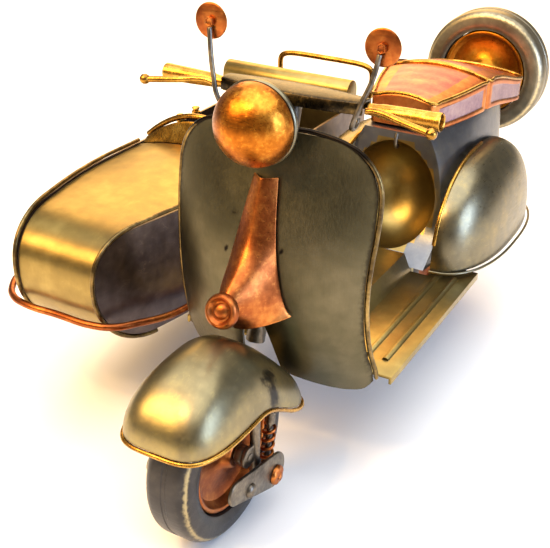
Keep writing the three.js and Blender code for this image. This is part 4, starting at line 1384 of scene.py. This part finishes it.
class SCOOTER_OT_sidecar(bpy.types.Operator):
    """Make the sidecar's tub, cowl, cockpit trim and rails"""

    bl_idname = "scooter.sidecar"
    bl_label = "Sidecar"

    def execute(self, context):
        sizes = context.scene.scooter_sizes
        self.plates(sizes)
        self.cowl(sizes.sheet)
        self.cockpit(sizes.sheet)
        self.rails()
        return {"FINISHED"}

    def plates(self, sizes):
        x0, half = CAR["x"], CAR["half"]
        for side, name in ((1, "inner"), (-1, "outer")):

            def skin(u, v):
                """From the nose's tip backwards, each column runs from the bottom edge to the rim."""
                s = (u + 1) / 2
                reach = 1 - math.cos(math.pi / 2 * min(s * 2.4, 1))
                y = lerp(CAR["front"], CAR["front"] + NOSE["under"], reach)
                if s > 1 / 2.4:
                    y = lerp(CAR["front"] + NOSE["under"], CAR["back"], (s - 1 / 2.4) / (1 - 1 / 2.4))
                under = min((y - CAR["front"]) / NOSE["under"], 1)
                over = min((y - CAR["front"]) / NOSE["reach"], 1)
                low = NOSE["z"] - math.sqrt(max(1 - (1 - under) ** 2, 0)) * (NOSE["z"] - CAR["bottom"])
                sine = max(1 - over, 0) ** (1 / 0.8)
                top = NOSE["z"] + max(1 - sine * sine, 0) ** 0.4 * (CAR["rim"] - NOSE["z"])
                return x0 + side * car_half(y), y, lerp(low, top, (v + 1) / 2)

            plate = grid("sidecar_plate_" + name + "_cut", 80, 16, skin)
            thickened(plate, sizes.sheet)
            outward(plate)
            finish(plate, "heat-tinted sheet steel", "chassis", "sidecar_plate_" + name, "raw_steel", 50)
            line = []
            for i in range(21):
                y, z = nose_point(i / 20)
                out = Vector((y - CAR["front"] - NOSE["under"], z - NOSE["z"])).normalized() * 1.2
                line.append((x0 + side * car_half(y), y + out.x, z + out.y))
            line += [
                (x0 + side * half, 80, CAR["rim"] + 1.2),
                (x0 + side * half, COWL["back"], CAR["rim"] + 1.2),
            ]
            bead = wire("sidecar_bead_" + name + "_rolled", line, sizes.bead, around=5, between=4)
            finish(bead, "dull brass", "chassis", "sidecar_bead_" + name, "brass")

    def cowl(self, sheet):
        curl = 0.55

        def skin(u, v):
            t = (v + 1) / 2
            if t < curl:
                y, z = nose_point(t / curl)
            else:
                y = lerp(CAR["front"] + NOSE["reach"], COWL["back"], (t - curl) / (1 - curl))
                z = CAR["rim"]
            crown = COWL["crown"] * smooth(y, 30, COWL["back"]) if t > 0.5 * curl else 0
            return CAR["x"] + u * (car_half(y) - 1.3), y, z - 1 + crown * (1 - u * u)

        cowl = grid("sidecar_cowl_bent", 32, 90, skin)
        thickened(cowl, sheet)
        outward(cowl)
        # The cowl's yellow tint is a painted reflection of the warm ceiling light.
        finish(cowl, "golden sheet steel", "chassis", "sidecar_cowl", "raw_steel", 60)

    def cockpit(self, sheet):
        x0, half, rim = CAR["x"], CAR["half"], CAR["rim"]
        inner = half - 0.85

        def strip(u, v):
            t = (v + 1) / 2
            crown = 1 - u * u
            z = lerp(rim - 0.6 + COWL["crown"] * crown, rim + 1.6 + 12.5 * crown, t)
            return x0 + u * (inner - 1), lerp(COWL["back"] + 1.3, COWL["back"] + 4.3, t), z

        dash = grid("sidecar_dash_bent", 40, 8, strip)
        thickened(dash, sheet)
        bevelled(dash, 0.3, 2, 50)
        finish(dash, "polished brass", "chassis", "sidecar_dash", "brass", 50)
        dial = [(0, 0.6), (0, -0.6), (1.6, -0.7), (2.1, -1.1), (2.8, -1.1), (3.2, -0.6), (3.2, 0.6)]
        button = spun("sidecar_dial", dial, (x0 + 1, COWL["back"] + 2.2, rim + 7.4), "Y", 40)
        finish(button, "brushed copper", "chassis", slot="copper")

        hoop = []
        for i in range(13):
            u = -1 + i / 6
            hoop.append((x0 + u * (half - 1), COWL["back"] + 6.7, rim + 2.4 + 13.5 * (1 - u * u)))
        finish(
            wire("sidecar_hoop_bent", hoop, 1.3, around=6), "polished brass", "chassis", "sidecar_hoop",
            "brass",
        )
        knob = [(0, 0), (2.2, 0), (2.2, 1.2), (1.5, 1.6), (1.6, 2.2), (2.1, 2.8), (1.7, 3.4), (0, 3.6)]
        for name in ("front", "rear"):
            spot = middle("sidecar_knob_" + name)
            piece = spun("sidecar_knob_" + name + "_turned", knob, (spot.x, spot.y, rim + 0.3), "Z", 32)
            finish(piece, "polished brass", "chassis", "sidecar_knob_" + name, "brass")
        # The backrest's yellow tint is a painted reflection of the warm ceiling light.
        refined("sidecar_backrest", "sidecar_backrest_rolled", "golden sheet steel", "raw_steel", 0.4, 25)
        refined("sidecar_pan", "sidecar_pan_folded", "heat-tinted sheet steel", "raw_steel")

    def rails(self):
        low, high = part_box("grab_rail")
        centre = middle("grab_rail")
        wide, tall = size("grab_rail").x / 2 - 1.5, size("grab_rail").z / 2 - 1.5
        loop = []
        for i in range(32):
            a = 2 * math.pi * i / 32
            loop.append(
                (
                    centre.x + wide * power(math.cos(a), 0.35), centre.y,
                    centre.z + tall * power(math.sin(a), 0.35),
                ),
            )
        finish(
            wire("grab_rail_bent", loop, 1.5, closed=True, between=4), "polished brass", "chassis",
            "grab_rail", "brass",
        )
        x, half = CAR["x"], CAR["half"]
        line = [
            (x + half + 2.1, 102, 50), (-48.4, 84, 50), (-48.2, 66, 50.2), (-48.4, 52, 51),
            (-50, 40, 52.5),
        ]
        line += [(-54, 28, 54.5), (-59, 19, 55.6), (-66, 15.5, 56), (-84, 15, 56), (-100, 14.8, 56)]
        line += [(-109, 17.6, 56), (-116, 25, 56), (-120, 34, 56), (-121, 48, 56), (-120, 66, 56)]
        line += [(-118.5, 86, 56), (x - half - 2.1, 104, 56)]
        finish(
            wire("bumper_rail_bent", line, 1.5, around=6), "brushed copper", "chassis", "bumper_rail",
            "copper",
        )


class SCOOTER_OT_under_parts(bpy.types.Operator):
    """Round the edges of the axles, struts and forks underneath"""

    bl_idname = "scooter.under_parts"
    bl_label = "Under parts"

    def execute(self, context):
        for name in ("side_axle", "rear_fork", "spare_mount", "strut_front", "strut_rear"):
            refined(name, name + "_finished", "dark steel rod", "dark_steel", 0.2, 40)
        return {"FINISHED"}


# ----------------------------------------------------------------------------- stage
VIEW = {"place": (154.96, -243.04, 255.48), "azimuth": 28.61, "down": 27.74, "roll": 1.23, "lens": 65.06}


class SCOOTER_OT_stage(bpy.types.Operator):
    """Set the pale floor, the soft lights and the camera"""

    bl_idname = "scooter.stage"
    bl_label = "Stage"

    def execute(self, context):
        studio = context.scene.scooter_studio
        self.floor(studio)
        self.light("warm ceiling", (-420, 900, 620), (-40, 120, 60), 0.9, 10, studio.warm)
        self.light("warm front", (-420, -420, 620), (-40, 60, 70), 0.4, 6, studio.warm)
        self.light("cool window", (760, 40, 300), (20, 120, 60), 0.5, 7, studio.cool)
        self.light("first bulb", (-150, -300, 560), (0, 0, 60), 0.04, 1.0, studio.warm)
        self.light("second bulb", (-60, -330, 560), (0, 0, 60), 0.04, 0.8, studio.warm)
        self.light("soft top", (60, 60, 1100), (0, 100, 40), 1.6, 22, (1, 1, 1))
        world = bpy.data.worlds.new("studio room")
        world.use_nodes = True
        world.node_tree.nodes["Background"].inputs["Color"].default_value = linear("bdb5a6")
        world.node_tree.nodes["Background"].inputs["Strength"].default_value = 0.55
        context.scene.world = world
        context.scene.view_settings.view_transform = "Standard"
        self.camera(context)
        return {"FINISHED"}

    def floor(self, studio):
        deselect()
        bpy.ops.mesh.primitive_plane_add(size=6, location=(0, 0, -0.0003))
        floor = added("floor_of_the_studio")
        made = bpy.data.materials.new("matt paper floor")
        made.use_nodes = True
        shader = made.node_tree.nodes["Principled BSDF"]
        shader.inputs["Base Color"].default_value = (*studio.floor, 1)
        shader.inputs["Roughness"].default_value = 1.0
        shader.inputs["Specular IOR Level"].default_value = 0.0
        floor.data.materials.append(made)

    def light(self, name, place, target, across, power_watts, colour):
        lamp = bpy.data.lights.new(name, "AREA")
        lamp.shape = "DISK"
        lamp.size = across
        lamp.energy = power_watts
        lamp.color = colour
        obj = bpy.data.objects.new(name, lamp)
        bpy.context.scene.collection.objects.link(obj)
        obj.location = at(*place)
        obj.rotation_euler = (at(*target) - at(*place)).to_track_quat("-Z", "Y").to_euler()

    def camera(self, context):
        made = bpy.data.cameras.new("view")
        made.lens = VIEW["lens"]
        made.clip_start = 0.01
        camera = bpy.data.objects.new("view", made)
        context.scene.collection.objects.link(camera)
        turn = Matrix.Rotation(math.radians(VIEW["azimuth"]), 4, "Z")
        tip = Matrix.Rotation(math.radians(90 - VIEW["down"]), 4, "X")
        roll = Matrix.Rotation(math.radians(VIEW["roll"]), 4, "Z")
        camera.matrix_world = Matrix.Translation(at(*VIEW["place"])) @ turn @ tip @ roll
        context.scene.camera = camera


class SCOOTER_PT_panel(bpy.types.Panel):
    """Lists the steps that build the scooter"""

    bl_label = "Sheet-metal scooter"
    bl_idname = "SCOOTER_PT_panel"
    bl_space_type = "VIEW_3D"
    bl_region_type = "UI"
    bl_category = "Scooter"

    def draw(self, context):
        layout = self.layout
        for group in (context.scene.scooter_sizes, context.scene.scooter_studio):
            for key in group.__annotations__:
                layout.prop(group, key)
        for operator in OPERATORS:
            layout.operator(operator.bl_idname)


OPERATORS = (
    SCOOTER_OT_stage,
    SCOOTER_OT_wheels,
    SCOOTER_OT_front_end,
    SCOOTER_OT_mudguard,
    SCOOTER_OT_leg_shield,
    SCOOTER_OT_steering,
    SCOOTER_OT_headlight,
    SCOOTER_OT_floor,
    SCOOTER_OT_rear_body,
    SCOOTER_OT_seat,
    SCOOTER_OT_sidecar,
    SCOOTER_OT_under_parts,
)
CLASSES = (ScooterSizes, StudioSettings, *OPERATORS, SCOOTER_PT_panel)


def register():
    for cls in CLASSES:
        bpy.utils.register_class(cls)
    bpy.types.Scene.scooter_sizes = bpy.props.PointerProperty(type=ScooterSizes)
    bpy.types.Scene.scooter_studio = bpy.props.PointerProperty(type=StudioSettings)


def unregister():
    del bpy.types.Scene.scooter_sizes
    del bpy.types.Scene.scooter_studio
    for cls in reversed(CLASSES):
        bpy.utils.unregister_class(cls)


def main():
    register()
    for operator in OPERATORS:
        group, step = operator.bl_idname.split(".")
        getattr(getattr(bpy.ops, group), step)()


if __name__ == "__main__":
    main()
